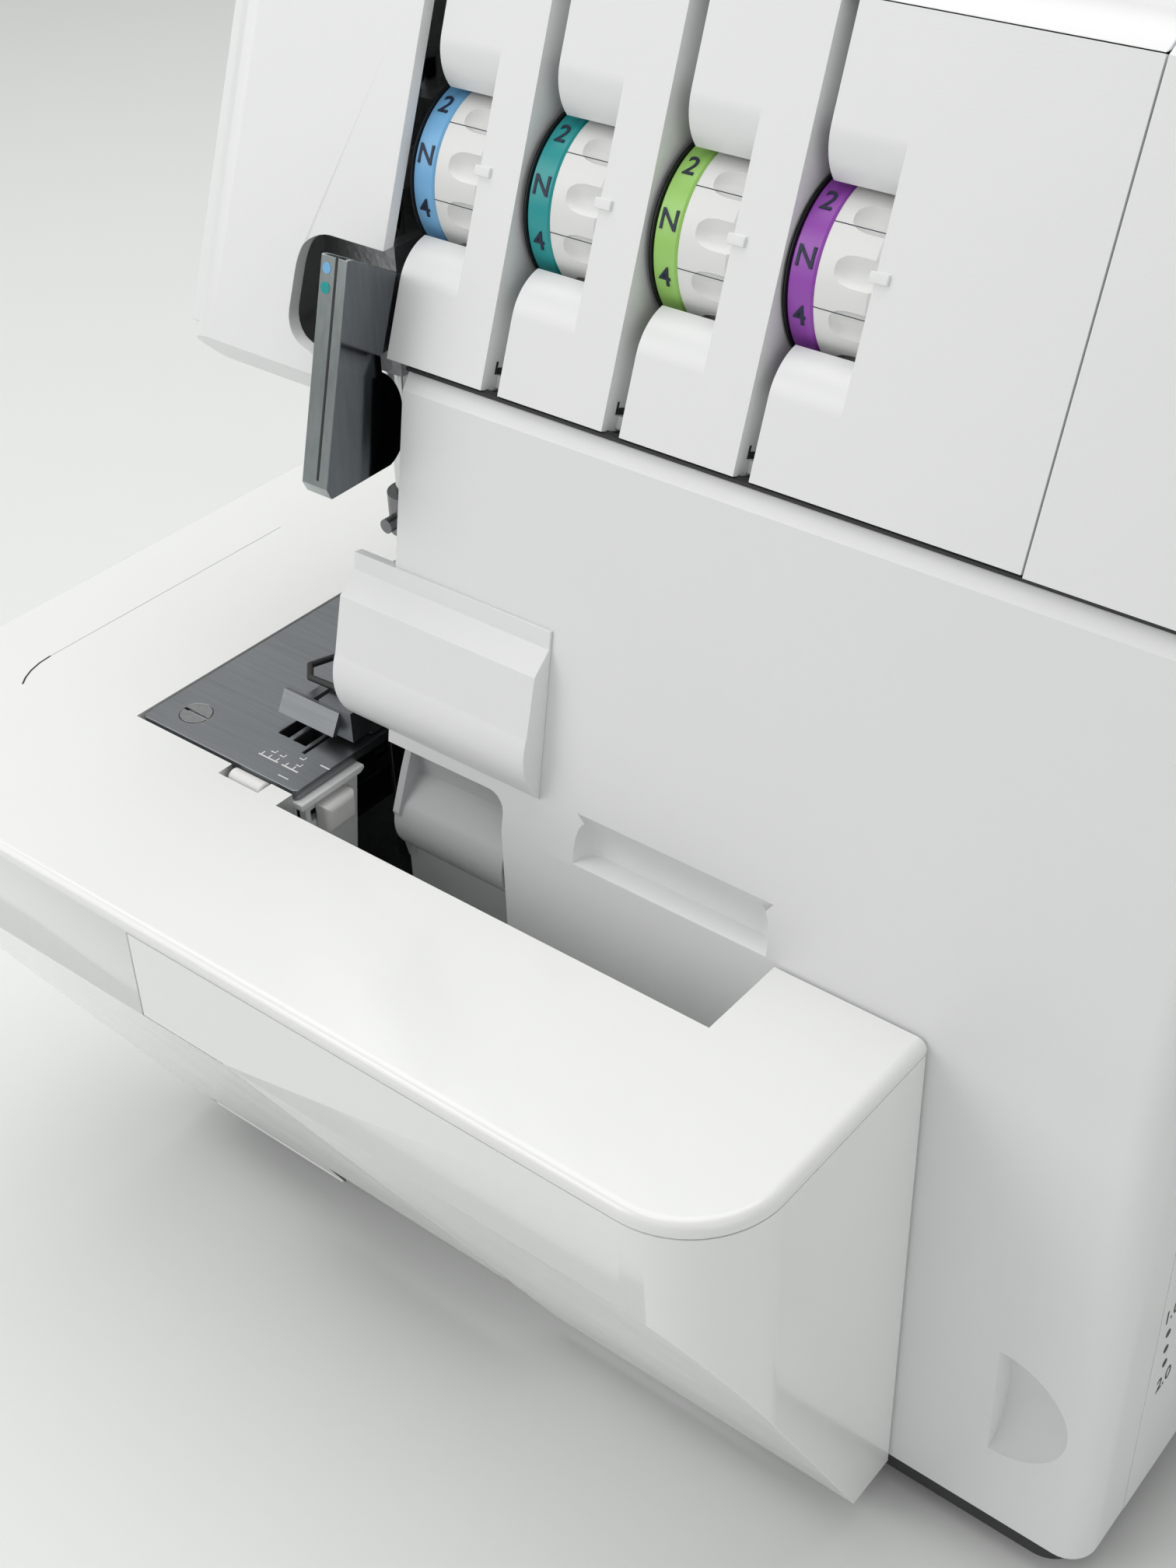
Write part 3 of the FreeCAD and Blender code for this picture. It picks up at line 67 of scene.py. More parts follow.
def new_material(name):
    """A material with its nodes and links."""
    material = bpy.data.materials.new(name)
    material.use_nodes = True
    return material, material.node_tree.nodes, material.node_tree.links


def centred(nodes, links, scale=(1, 1, 1)):
    """Places on the piece itself, stretched along its axes."""
    coords = nodes.new("ShaderNodeTexCoord")
    mapping = nodes.new("ShaderNodeMapping")
    mapping.inputs["Scale"].default_value = scale
    links.new(coords.outputs["Object"], mapping.inputs["Vector"])
    return mapping.outputs["Vector"]


def noise(nodes, links, vector, scale, detail=4.0, rough=0.55):
    made = nodes.new("ShaderNodeTexNoise")
    made.inputs["Scale"].default_value = scale
    made.inputs["Detail"].default_value = detail
    made.inputs["Roughness"].default_value = rough
    links.new(vector, made.inputs["Vector"])
    return made.outputs["Fac"]


def ramp(nodes, links, value, low, high):
    """Turns a value from 0 to 1 into one from low to high."""
    made = nodes.new("ShaderNodeMapRange")
    made.inputs["To Min"].default_value = low
    made.inputs["To Max"].default_value = high
    links.new(value, made.inputs["Value"])
    return made.outputs["Result"]


def tint(nodes, links, value, first, second):
    """Blends between two colours by a value."""
    made = nodes.new("ShaderNodeValToRGB")
    made.color_ramp.elements[0].position = 0.3
    made.color_ramp.elements[1].position = 0.7
    made.color_ramp.elements[0].color = (*first, 1)
    made.color_ramp.elements[1].color = (*second, 1)
    links.new(value, made.inputs["Fac"])
    return made.outputs["Color"]


def bump(nodes, links, height, strength, distance):
    made = nodes.new("ShaderNodeBump")
    made.inputs["Strength"].default_value = strength
    made.inputs["Distance"].default_value = distance
    links.new(height, made.inputs["Height"])
    return made.outputs["Normal"]


def moulded(name, colour, roughness, grain=0.06, grain_scale=2600, coat=0.0, vary=0.012):
    """Moulded plastic: faint clouding in the colour, uneven gloss and a fine eroded grain."""
    material, nodes, links = new_material(name)
    shader = nodes["Principled BSDF"]
    vector = centred(nodes, links)
    cloud = noise(nodes, links, vector, scale=14, detail=3)
    dark = tuple(max(c - vary, 0) for c in colour)
    links.new(tint(nodes, links, cloud, dark, colour), shader.inputs["Base Color"])
    wear = noise(nodes, links, vector, scale=55, detail=5)
    links.new(ramp(nodes, links, wear, roughness - 0.06, roughness + 0.06), shader.inputs["Roughness"])
    fine = noise(nodes, links, vector, grain_scale, detail=2)
    links.new(bump(nodes, links, fine, grain, distance=0.0002), shader.inputs["Normal"])
    shader.inputs["Coat Weight"].default_value = coat
    shader.inputs["Coat Roughness"].default_value = 0.08
    shader.inputs["IOR"].default_value = 1.5
    return material


def steel(name, colour, roughness, brush=(1, 1, 1), strength=0.08, scale=900):
    """Metal with drawn or ground lines along the axis whose brush number is small."""
    material, nodes, links = new_material(name)
    shader = nodes["Principled BSDF"]
    vector = centred(nodes, links, brush)
    lines = noise(nodes, links, vector, scale, detail=6, rough=0.7)
    dark = tuple(c * 0.82 for c in colour)
    links.new(tint(nodes, links, lines, dark, colour), shader.inputs["Base Color"])
    cloud = noise(nodes, links, centred(nodes, links), scale=40, detail=4)
    links.new(ramp(nodes, links, cloud, roughness - 0.05, roughness + 0.08), shader.inputs["Roughness"])
    links.new(bump(nodes, links, lines, strength, distance=0.0001), shader.inputs["Normal"])
    shader.inputs["Metallic"].default_value = 1.0
    return material


def cast(name, colour, roughness):
    """Cast aluminium with a sandy skin and darker hollows."""
    material, nodes, links = new_material(name)
    shader = nodes["Principled BSDF"]
    vector = centred(nodes, links)
    cells = nodes.new("ShaderNodeTexVoronoi")
    cells.inputs["Scale"].default_value = 700
    links.new(vector, cells.inputs["Vector"])
    dark = tuple(c * 0.7 for c in colour)
    hollows = noise(nodes, links, vector, scale=60, detail=6)
    links.new(tint(nodes, links, hollows, dark, colour), shader.inputs["Base Color"])
    sand = bump(nodes, links, cells.outputs["Distance"], strength=0.35, distance=0.0004)
    links.new(sand, shader.inputs["Normal"])
    shader.inputs["Roughness"].default_value = roughness
    shader.inputs["Metallic"].default_value = 0.85
    return material


# moulded: colour, roughness, depth and scale of the grain; steel: colour, roughness, brush, line depth
FINISH = {
    "white_shell": moulded("moulded_white_satin", (0.86, 0.865, 0.87), 0.34, 0.10, 1700),
    "white_table": moulded("polished_white_plastic", (0.895, 0.9, 0.895), 0.20, 0.012, 1200, coat=0.3),
    "white_grip": moulded("white_grip_plastic", (0.84, 0.84, 0.83), 0.42, 0.12, 2200),
    "grey_plastic": moulded("pale_grey_plastic", (0.52, 0.53, 0.54), 0.48, 0.12, 2000),
    "dark_plastic": moulded("black_plastic", (0.022, 0.022, 0.024), 0.45, 0.15, 1800, vary=0.006),
    "lamp_clear": moulded("frosted_lens", (0.82, 0.82, 0.76), 0.5, 0.2, 900),
    "bright_steel": steel("bright_steel", (0.62, 0.63, 0.64), 0.16, (1, 1, 0.06), 0.05),
    "plate_steel": steel("ground_plate_steel", (0.30, 0.315, 0.33), 0.36, (0.04, 1, 1), 0.06),
    # the thread guard's steel twice: darker as a painted dark reflection for its sides, paler as a painted
    # highlight for its edges
    "guard_steel": steel("steel_painted_dark_reflection", (0.16, 0.175, 0.19), 0.10, (1, 1, 0.08), 0.03),
    "guard_edge": steel("steel_painted_edge_highlight", (0.40, 0.44, 0.44), 0.22, (1, 1, 0.08), 0.05),
    "tool_steel": steel("dark_tool_steel", (0.20, 0.20, 0.21), 0.32, (1, 1, 0.1), 0.10),
    # cast aluminium in its own grey, set darker than the bare metal as painted shade for the inside of the
    # machine
    "casting": cast("cast_aluminium_darkened_for_shade", (0.42, 0.43, 0.44), 0.5),
    "ink": moulded("dial_ink", (0.012, 0.02, 0.05), 0.5, 0.05, 1500, vary=0.004),
    "feet_rubber": moulded("black_rubber", (0.018, 0.018, 0.018), 0.8, 0.4, 900, vary=0.005),
    "belt_rubber": moulded("belt_rubber", (0.012, 0.012, 0.012), 0.7, 0.5, 1100, vary=0.004),
    "dial_blue": moulded("dial_band_blue", (0.20, 0.48, 0.80), 0.30, 0.05, 1500),
    "dial_teal": moulded("dial_band_teal", (0.02, 0.33, 0.34), 0.30, 0.05, 1500),
    "dial_green": moulded("dial_band_green", (0.36, 0.66, 0.16), 0.30, 0.05, 1500),
    "dial_purple": moulded("dial_band_purple", (0.32, 0.07, 0.46), 0.30, 0.05, 1500),
}
SLOT_OF = {part["node"]: part["material_slot"] for part in frame["record"]["subparts"]}
BODY_OF = {node: body for body, listed in frame["record"]["behaviour"]["bodies"].items() for node in listed}


def finish_as(piece, slot, *materials):
    """Gives a piece its materials, by default the finish of its material slot."""
    piece.data.materials.clear()
    for material in materials or (FINISH[slot],):
        piece.data.materials.append(material)


# ------------------------------------------------------------------ modelling by hand

def alone(piece):
    """Selects one piece and nothing else."""
    bpy.ops.object.select_all(action="DESELECT")
    piece.select_set(True)
    bpy.context.view_layer.objects.active = piece


def smooth(piece, degrees=35):
    """Shades a piece smooth between its sharp edges."""
    alone(piece)
    bpy.ops.object.shade_smooth_by_angle(angle=math.radians(degrees))
    even = piece.modifiers.new("even", "WEIGHTED_NORMAL")
    even.keep_sharp = True
    even.weight = 90
    bpy.ops.object.modifier_apply(modifier="even")


ROUNDED = {
    # the corners of the window over the needles: width and where its edges run front to back
    "left_head_cover": [(3.6, (-125, 237)), (3.6, (-129, 233)), (4.5, (-129, 217.6)), (3, (-118.7, 215))],
}


def softened(node, width, segments):
    """The node's shape with its triangles merged into faces and its sharp edges rounded."""
    source = frame["nodes"][node]
    piece = source.copy()
    piece.data = source.data.copy()
    piece.name = node + "_moulding"
    bpy.context.collection.objects.link(piece)
    piece.parent = None
    piece.matrix_world = Matrix()
    del piece["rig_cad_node"]
    alone(piece)
    flat = 0.6 if width else 0.05        # triangles within this many degrees are one face
    bpy.ops.object.mode_set(mode="EDIT")
    bpy.ops.mesh.select_all(action="SELECT")
    bpy.ops.mesh.remove_doubles(threshold=0.00001)
    bpy.ops.mesh.dissolve_limited(angle_limit=math.radians(flat))
    bpy.ops.object.mode_set(mode="OBJECT")
    for rounding, (x, z) in ROUNDED.get(node, ()):
        ease(piece, rounding, lambda middle, run: abs(run.y) > 1 and abs(run.x) < 0.1 and abs(run.z) < 0.1
             and abs(middle.x - x) < 0.4 and abs(middle.z - z) < 0.4, 5)
    if width:
        edged(piece, width, segments)
    else:
        smooth(piece)
    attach(piece, BODY_OF[node])
    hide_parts(node)
    finish_as(piece, SLOT_OF[node])
    return piece


def draw(name, places):
    """Starts a piece from one point and draws its outline vertex by vertex; stays in edit mode."""
    bpy.ops.object.select_all(action="DESELECT")
    bpy.ops.mesh.primitive_plane_add(size=0.002, location=places[0])
    piece = bpy.context.active_object
    piece.name = name
    bpy.ops.object.mode_set(mode="EDIT")
    bpy.ops.mesh.select_mode(type="VERT")
    bpy.ops.mesh.select_all(action="SELECT")
    bpy.ops.mesh.merge(type="CENTER")
    for here, there in zip(places, places[1:]):
        bpy.ops.mesh.extrude_vertices_move(TRANSFORM_OT_translate={"value": there - here})
    bpy.ops.mesh.select_all(action="SELECT")
    return piece


def trace(name, corners, pull):
    """Draws an outline, fills it and pulls it out into a solid, in millimetres."""
    piece = draw(name, [at(*corner) for corner in corners])
    bpy.ops.mesh.edge_face_add()
    bpy.ops.mesh.extrude_region_move(TRANSFORM_OT_translate={"value": Vector(pull) * MM})
    tidy_mesh()
    return settle(piece)


def tidy_mesh():
    """Merges doubles, turns every face outward and leaves edit mode."""
    bpy.ops.mesh.select_all(action="SELECT")
    bpy.ops.mesh.remove_doubles(threshold=0.000002)
    bpy.ops.mesh.normals_make_consistent(inside=False)
    bpy.ops.object.mode_set(mode="OBJECT")


def settle(piece):
    """Moves a piece's place, turn and scale into its mesh."""
    alone(piece)
    bpy.ops.object.transform_apply(location=True, rotation=True, scale=True)
    return piece


def turned(name, profile, centre, axis="X", steps=96):
    """Turns a closed or axis-to-axis profile of (along, radius) points, as on a lathe."""
    along = {"X": Vector((1, 0, 0)), "Y": Vector((0, 1, 0)), "Z": Vector((0, 0, 1))}[axis]
    out = Vector((0, 0, 1)) if axis != "Z" else Vector((1, 0, 0))
    origin = at(*centre)
    piece = draw(name, [origin + (along * u + out * r) * MM for u, r in profile])
    bpy.ops.mesh.spin(steps=steps, angle=math.tau, center=origin, axis=along)
    tidy_mesh()
    return settle(piece)


def cut(piece, tool, operation="DIFFERENCE"):
    """Takes the tool's shape out of the piece, or adds it on, and throws the tool away."""
    step = piece.modifiers.new("shape", "BOOLEAN")
    step.operation = operation
    step.solver = "EXACT"
    step.object = tool
    alone(piece)
    bpy.ops.object.modifier_apply(modifier="shape")
    bpy.data.objects.remove(tool, do_unlink=True)
    return piece


def ease(piece, width, chosen, segments=6):
    """Rounds the edges whose middle and run pass the test, in millimetres from the datum."""
    alone(piece)
    bpy.ops.object.mode_set(mode="EDIT")
    bpy.ops.mesh.select_mode(type="EDGE")
    bpy.ops.mesh.select_all(action="DESELECT")
    bpy.ops.object.mode_set(mode="OBJECT")
    for edge in piece.data.edges:
        first, second = (piece.data.vertices[i].co / MM - DATUM for i in edge.vertices)
        edge.select = bool(chosen((first + second) / 2, second - first))
    bpy.ops.object.mode_set(mode="EDIT")
    bpy.ops.mesh.bevel(offset=width * MM, segments=segments, affect="EDGES")
    bpy.ops.object.mode_set(mode="OBJECT")
    return piece


def edged(piece, width, segments, degrees=32):
    """Rounds every edge sharper than an angle and shades the piece smooth."""
    edge = piece.modifiers.new("edge", "BEVEL")
    edge.width = width * MM
    edge.segments = segments
    edge.limit_method = "ANGLE"
    edge.angle_limit = math.radians(degrees)
    edge.use_clamp_overlap = True
    alone(piece)
    bpy.ops.object.modifier_apply(modifier="edge")
    smooth(piece)
    return piece


def fitted(piece, body, slot, *materials, replaces=(), degrees=35):
    """Hands a finished piece to its body, gives it its materials, by default its slot's finish, and hides the
    nodes that it stands for.
    """
    smooth(piece, degrees)
    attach(piece, body)
    if replaces:
        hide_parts(*replaces)
    finish_as(piece, slot, *materials)
    return piece


def joined(name, pieces):
    """Makes one piece of several."""
    bpy.ops.object.select_all(action="DESELECT")
    for piece in pieces:
        piece.select_set(True)
    bpy.context.view_layer.objects.active = pieces[0]
    if len(pieces) > 1:
        bpy.ops.object.join()
    pieces[0].name = name
    return pieces[0]


def slab(name, low, high):
    """A block as a tool or a start, between two corners."""
    (x0, y0, z0), (x1, y1, z1) = low, high
    return trace(name, [(x0, y0, z0), (x1, y0, z0), (x1, y1, z0), (x0, y1, z0)], (0, 0, z1 - z0))


def arc(centre, radius, first, last, steps):
    """Points of an arc in a plane, with angles in degrees."""
    turns = [math.radians(first + (last - first) * i / steps) for i in range(steps + 1)]
    return [(centre[0] + radius * math.cos(t), centre[1] + radius * math.sin(t)) for t in turns]


# how wide each node's edges are rounded, in millimetres, and in how many steps
EDGES = {
    "right_end_cover": (1.2, 3), "rear_cover": (0.5, 2), "top_cover": (0.6, 2),
    "left_head_cover": (1.0, 3), "tension_panel": (0.45, 2), "knife_cover": (0.5, 2), "waste_chute": (0.5, 2),
    "takeup_guard": (0.2, 2), "needle_plate": (0.25, 2), "extension_table": (0, 0),
    "accessory_drawer": (1.1, 3), "free_arm_cover": (0.5, 2), "carrying_handle": (1.2, 3),
    "spool_stand": (1.0, 2), "handwheel": (1.2, 3),
    "stitch_finger_bracket": (0.3, 2), "stitch_finger_lever": (0.3, 2), "presser_foot": (0.25, 2),
    "base_plate": (0.6, 2), "machine_frame": (0.8, 2), "bed_frame": (0.6, 2), "motor": (0.6, 2),
    "differential_dial": (0.5, 2), "stitch_length_dial": (0.5, 2), "power_switch": (0.4, 2),
    "power_inlet": (0.4, 2), "pedal_socket": (0.4, 2), "presser_lifter": (0.5, 2), "upper_knife": (0.25, 2),
    "lower_knife": (0.25, 2), "thread_guide_head": (0.5, 2), "lamp_lens": (0.3, 2), "needle_clamp": (0.3, 2),
    "cone_holders": (0.5, 2), "spool_pins": (0.5, 2), "rubber_feet": (0.6, 2), "case_screws": (0.3, 2),
    "needle_plate_screw": (0.15, 2), "tension_bracket": (0.2, 1),
    "lower_looper": (0.3, 2), "upper_looper": (0.3, 2),
    "takeup_lever": (0.2, 2), "tree_tube": (0.4, 2), "belt_pulley": (0.5, 2), "motor_pulley": (0.4, 2),
}

TABLE_TOP = 130.0


def notch_table(table):
    """Cuts the notch for the white roll into the table's edge beside the needle plate."""
    cut(table, slab("notch", (-129.2, -20.4, TABLE_TOP - 4.4), (-117.2, -15.9, TABLE_TOP + 1)))
    smooth(table)


def finish_guard(guard):
    """The thread guard's steel in two colours chosen by face direction: a painted dark reflection on its
    sides and a painted highlight on its edges.
    """
    finish_as(guard, SLOT_OF["takeup_guard"], FINISH["guard_steel"], FINISH["guard_edge"])
    for face in guard.data.polygons:
        # faces pointing sideways get the painted dark reflection, all others the painted edge highlight
        face.material_index = 0 if abs(face.normal.x) > 0.7 else 1


for node, (width, segments) in EDGES.items():
    moulding = softened(node, width, segments)
    if node == "extension_table":
        notch_table(moulding)
    if node == "takeup_guard":
        finish_guard(moulding)

FACE_BEND = 130.0                        # the height where the front face starts to lean back
FACE_SLOPE = math.tan(math.radians(10))
COVER_LEFT, COVER_RIGHT = -99.3, 78.0
COVER_FOOT, COVER_TOP = 9.4, 216.8
COVER_BACK = 17.8
COVER_WALL = 2.4


def face_y(z):
    """How far back the leaning front face lies at a height."""
    return max(z - FACE_BEND, 0) * FACE_SLOPE


def make_front_cover():
    """The fold-down front: a thin hollow moulding with two scoops and a stepped corner."""
    crest = COVER_TOP - 3.6
    outer = [(0, COVER_FOOT), (COVER_BACK, COVER_FOOT), (COVER_BACK, COVER_TOP),
             (face_y(COVER_TOP) + 2, COVER_TOP), (face_y(crest), crest), (0, FACE_BEND)]
    cover = trace("front_cover_shell", [(COVER_LEFT, y, z) for y, z in outer],
                  (COVER_RIGHT - COVER_LEFT, 0, 0))
    ease(cover, 6.5, lambda middle, run: middle.x > COVER_RIGHT - 0.1 and middle.y < 14
         and abs(run.z) > 60, 8)
    past_left, below, behind = -101.0, 8.0, 23.0      # where the cutting tools start, clear of the cover
    ceiling = COVER_TOP - 5.0
    inner = [(COVER_WALL, below), (behind, below), (behind, ceiling),
             (face_y(ceiling) + COVER_WALL, ceiling), (COVER_WALL, FACE_BEND)]
    cut(cover, trace("hollow", [(past_left, y, z) for y, z in inner],
                     (COVER_RIGHT - COVER_WALL - past_left, 0, 0)))
    add_scoop_backings(cover)
    step_right, step_top, step_corner = -67.5, 138.4, 4.0
    bend = arc((step_right - step_corner, step_top - step_corner), step_corner, 0, 90, 5)
    corner = [(past_left, below), (step_right, below), *bend, (past_left, step_top)]
    cut(cover, trace("step", [(x, -2, z) for x, z in corner], (0, 22, 0)))
    cut_finger_scoop(cover)
    cut_thumb_scoop(cover)
    edged(cover, 0.5, 2, 20)
    fitted(cover, BODY_OF["front_cover"], "white_shell", replaces=["front_cover"], degrees=20)


def add_scoop_backings(cover):
    """Thickens the thin wall behind the two scoops."""
    backing = [(1.6, 126), (7.6, 126), (7.6, 145), (3.6, 145), (1.9, 131)]
    cut(cover, trace("backing", [(-53.5, y, z) for y, z in backing], (66.5, 0, 0)), "UNION")
    cut(cover, slab("thumb_backing", (52.5, 1.6, 27), (73.6, 8.4, 64)), "UNION")


def cut_finger_scoop(cover):
    """The long hollow under the fingers, with a flat floor and a curved rise to the face."""
    left, width = -49.0, 46.5
    scoop = [(-4, 130.7), (5.2, 130.7), (5.5, 132.2), (5.3, 134), (4.7, 136.2), (3.8, 138.4), (2.9, 140.4),
             (2.2, 142), (-4, 142.2)]
    finger = trace("scoop", [(left, y, z) for y, z in scoop], (width, 0, 0))
    ease(finger, 4.5, lambda middle, run: abs(run.x) < 0.1
         and (middle.x < left + 0.1 or middle.x > left + width - 0.1)
         and middle.y > 3.2 and middle.z > 131, 5)
    cut(cover, finger)


def cut_thumb_scoop(cover):
    """The right half of an egg-shaped hollow, ending in a straight wall at its left."""
    middle = at(54.5, 0, 45)
    bpy.ops.object.select_all(action="DESELECT")
    bpy.ops.mesh.primitive_uv_sphere_add(segments=48, ring_count=32, radius=MM, location=middle,
                                         scale=(16.1, 6.6, 15))
    thumb = settle(bpy.context.active_object)
    alone(thumb)
    bpy.ops.object.mode_set(mode="EDIT")
    bpy.ops.mesh.select_all(action="SELECT")
    bpy.ops.mesh.bisect(plane_co=middle, plane_no=(1, 0, 0), use_fill=True, clear_inner=True)
    tidy_mesh()
    cut(cover, thumb)


SECTIONS = (-103.8, -75.9, -47.4, -19.3)          # the left edge of each thread section
SECTION_ENDS = (-80.0, -51.4, -22.6)              # the right edges of the first three
LEAN = math.radians(21)                           # how far the tension panel leans back
PANEL_FOOT = Vector((0, 15.5, 217.8))
PANEL_UP = Vector((0, math.sin(LEAN), math.cos(LEAN)))
OUTWARD = Vector((0, -math.cos(LEAN), math.sin(LEAN)))
DIAL_RADIUS = 17.4
SPINDLE_BORE = 2.3


def on_panel(x, up, deep=0.0):
    """A place on the tension panel: along it, up its face from its foot, and in from its face."""
    return PANEL_FOOT + Vector((x, 0, 0)) + PANEL_UP * up - OUTWARD * deep


DIAL = on_panel(0, up=37.7, deep=18.3)            # a point on the dials' common axis


def make_flute(left, turn):
    """One capsule-shaped hollow in a dial's grip, with a rounded inner end."""
    tip = [(0.0, 0.0), (0.35, 1.5), (1.1, 2.5), (2.4, 3.2), (4.2, 3.5), (20.0, 3.5), (20.0, 0.0)]
    away = DIAL_RADIUS + 2.0
    y, z = DIAL.y - away * math.cos(turn), DIAL.z + away * math.sin(turn)
    return turned("flute", tip, (left + 5.4, y, z), "X", 24)


def make_tension_dial(number, left, band):
    """A coloured number band and a white fluted grip, bored for the spindle."""
    body = BODY_OF["tension_dial_%d" % number]
    r, bore = DIAL_RADIUS, SPINDLE_BORE
    outline = [(-2.2, bore), (-2.2, r - 0.4), (-1.8, r), (2.6, r), (3.0, r - 0.3), (3.0, bore), (-2.2, bore)]
    ring = turned("tension_band_%d" % number, [(left + u, v) for u, v in outline], DIAL)
    fitted(ring, body, band)
    outline = [(3.05, bore), (3.05, r - 0.3), (3.5, r - 0.05), (13.2, r - 0.05), (13.8, r - 0.4),
               (14.0, r - 1.2), (14.0, 8.5), (12.6, 7.6), (12.6, bore), (3.05, bore)]
    grip = turned("tension_grip_%d" % number, [(left + u, v) for u, v in outline], DIAL)
    flutes, first = 12, math.radians(23)
    cut(grip, joined("flutes", [make_flute(left, math.tau * i / flutes + first) for i in range(flutes)]))
    edged(grip, 0.3, 2, 30)
    fitted(grip, body, "white_grip", replaces=["tension_dial_%d" % number])
    marks = [make_digit(mark, left + 0.45, math.radians(degrees))
             for mark, degrees in (("2", 36), ("N", 3), ("4", -30))]
    marks += [make_tick(left + 8.4, math.radians(degrees)) for degrees in (26, -22)]
    digits = joined("tension_numbers_%d" % number, marks)
    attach(digits, body)
    finish_as(digits, band, FINISH["ink"])


def rim_place(along, turn, above):
    """A place on a dial's rim, a turn up from straight outward, and the way out from the axis there."""
    out = Matrix.Rotation(-turn, 3, "X") @ OUTWARD
    place = at(along, DIAL.y, DIAL.z) + out * (DIAL_RADIUS + above) * MM
    return place, out


def glyph(mark, size, half_depth, place, across, up, swell=0.0):
    """A generic number or letter as a thin solid, centred on a place."""
    bpy.ops.object.text_add(location=(0, 0, 0))
    text = bpy.context.active_object
    text.data.body = mark
    text.data.align_x = "CENTER"
    text.data.align_y = "CENTER"
    text.data.size = size * MM
    text.data.extrude = half_depth * MM
    text.data.offset = swell * MM
    turn = Matrix((across, up, across.cross(up))).transposed().to_4x4()
    text.matrix_world = Matrix.Translation(place) @ turn
    alone(text)
    bpy.ops.object.convert(target="MESH")
    return settle(bpy.context.active_object)


def make_digit(mark, along, turn):
    """A number printed on a dial's band, proud of it by a hair."""
    place, out = rim_place(along, turn, above=0.02)
    across = Vector((1, 0, 0))
    return glyph(mark, 5.2, 0.12, place, across, out.cross(across), swell=0.03)


def make_tick(along, turn):
    """A thin line along a dial's rim, between two numbers."""
    length, width, height = 10.4, 0.16, 0.14
    place, out = rim_place(along, turn, above=-0.04)
    bpy.ops.object.select_all(action="DESELECT")
    bpy.ops.mesh.primitive_cube_add(size=MM, location=place, scale=(length, width, height))
    tick = bpy.context.active_object
    tick.rotation_euler = out.to_track_quat("Z", "Y").to_euler()
    settle(tick)
    return edged(tick, 0.04, 1)


def make_tension_discs():
    """Grooved black discs in the thread channels."""
    r, bore = DIAL_RADIUS + 0.2, 2.22
    outline = [(0, bore), (0, r - 0.6), (0.1, r - 0.1), (0.2, r), (0.26, r - 0.5), (0.34, r - 0.5), (0.4, r),
               (0.5, r), (0.6, r - 0.2), (0.6, bore), (0, bore)]
    discs = [turned("disc_%d" % number, [(left - 3.0 + u, v) for u, v in outline], DIAL)
             for number, left in enumerate(SECTIONS, start=1)]
    tension_discs = joined("tension_discs", discs)
    fitted(tension_discs, BODY_OF["dial_collars"], "dark_plastic", replaces=["dial_collars"])


def stroke(name, points, width, height):
    """A fine line on a level surface: a strip that follows the points, at a height."""
    sides = []
    for index, point in enumerate(points):
        before, after = Vector(points[max(index - 1, 0)]), Vector(points[min(index + 1, len(points) - 1)])
        way = (after - before).normalized()
        sides.append((Vector(point), Vector((-way.y, way.x)) * width / 2))
    outline = [(*(p + o), height) for p, o in sides] + [(*(p - o), height) for p, o in reversed(sides)]
    return trace(name, outline, (0, 0, 0.05))


def make_guard_details():
    """Two colour dots, and a thin dark strip down the front of the thread guard as painted shade in its slot.
    """
    foot, head = Vector((0, -3, 197.5)), Vector((0, 8.6, 240))      # the ends of its front edge
    dots_x, slot_x, slot_width = -109.5, -107.4, 0.55
    up = (head - foot).normalized()
    out = Vector((1, 0, 0)).cross(up)
    for name, height, radius, finish in (("guard_dot_blue", 0.945, 1.05, "dial_blue"),
                                         ("guard_dot_teal", 0.862, 1.15, "dial_teal")):
        middle = foot.lerp(head, height) + Vector((dots_x, 0, 0))
        bpy.ops.object.select_all(action="DESELECT")
        bpy.ops.mesh.primitive_cylinder_add(vertices=40, radius=radius * MM, depth=0.12 * MM,
                                            location=at(*middle) + out * 0.03 * MM)
        dot = bpy.context.active_object
        dot.name = name
        dot.rotation_euler = out.to_track_quat("Z", "Y").to_euler()
        settle(dot)
        edged(dot, 0.04, 2)
        fitted(dot, BODY_OF["takeup_guard"], finish)
    start = foot.lerp(head, 0.03)
    left, right = Vector((slot_x, 0, 0)), Vector((slot_x + slot_width, 0, 0))
    corners = [start + left, start + right, head + right, head + left]
    # a thin dark strip where the slot is: painted shade
    slot = trace("guard_slot_shade", [c + out * 0.01 for c in corners], out * 0.06)
    fitted(slot, BODY_OF["takeup_guard"], "dark_plastic")


def make_seam_shadow_strip():
    """A thin dark strip in the seam between the front cover and the tension panel, as painted shadow in the
    gap.
    """
    seal = slab("seam_shadow_strip", (-99.0, 15.75, 216.95), (77.6, 17.6, 217.72))
    edged(seal, 0.12, 2)
    fitted(seal, BODY_OF["tension_panel"], "dark_plastic")


def make_index_marks():
    """Raised white marks on the panel beside the dials."""
    low, high, width = 37.6, 39.5, 3.6
    for number, left in enumerate(SECTIONS, start=1):
        x = left + 13.6
        outline = ((x, low), (x + width, low), (x + width, high), (x, high))
        corners = [on_panel(along, up, deep=0.3) for along, up in outline]
        mark = trace("index_mark_%d" % number, corners, OUTWARD * 0.9)
        edged(mark, 0.25, 2)
        fitted(mark, BODY_OF["tension_panel"], "white_shell")


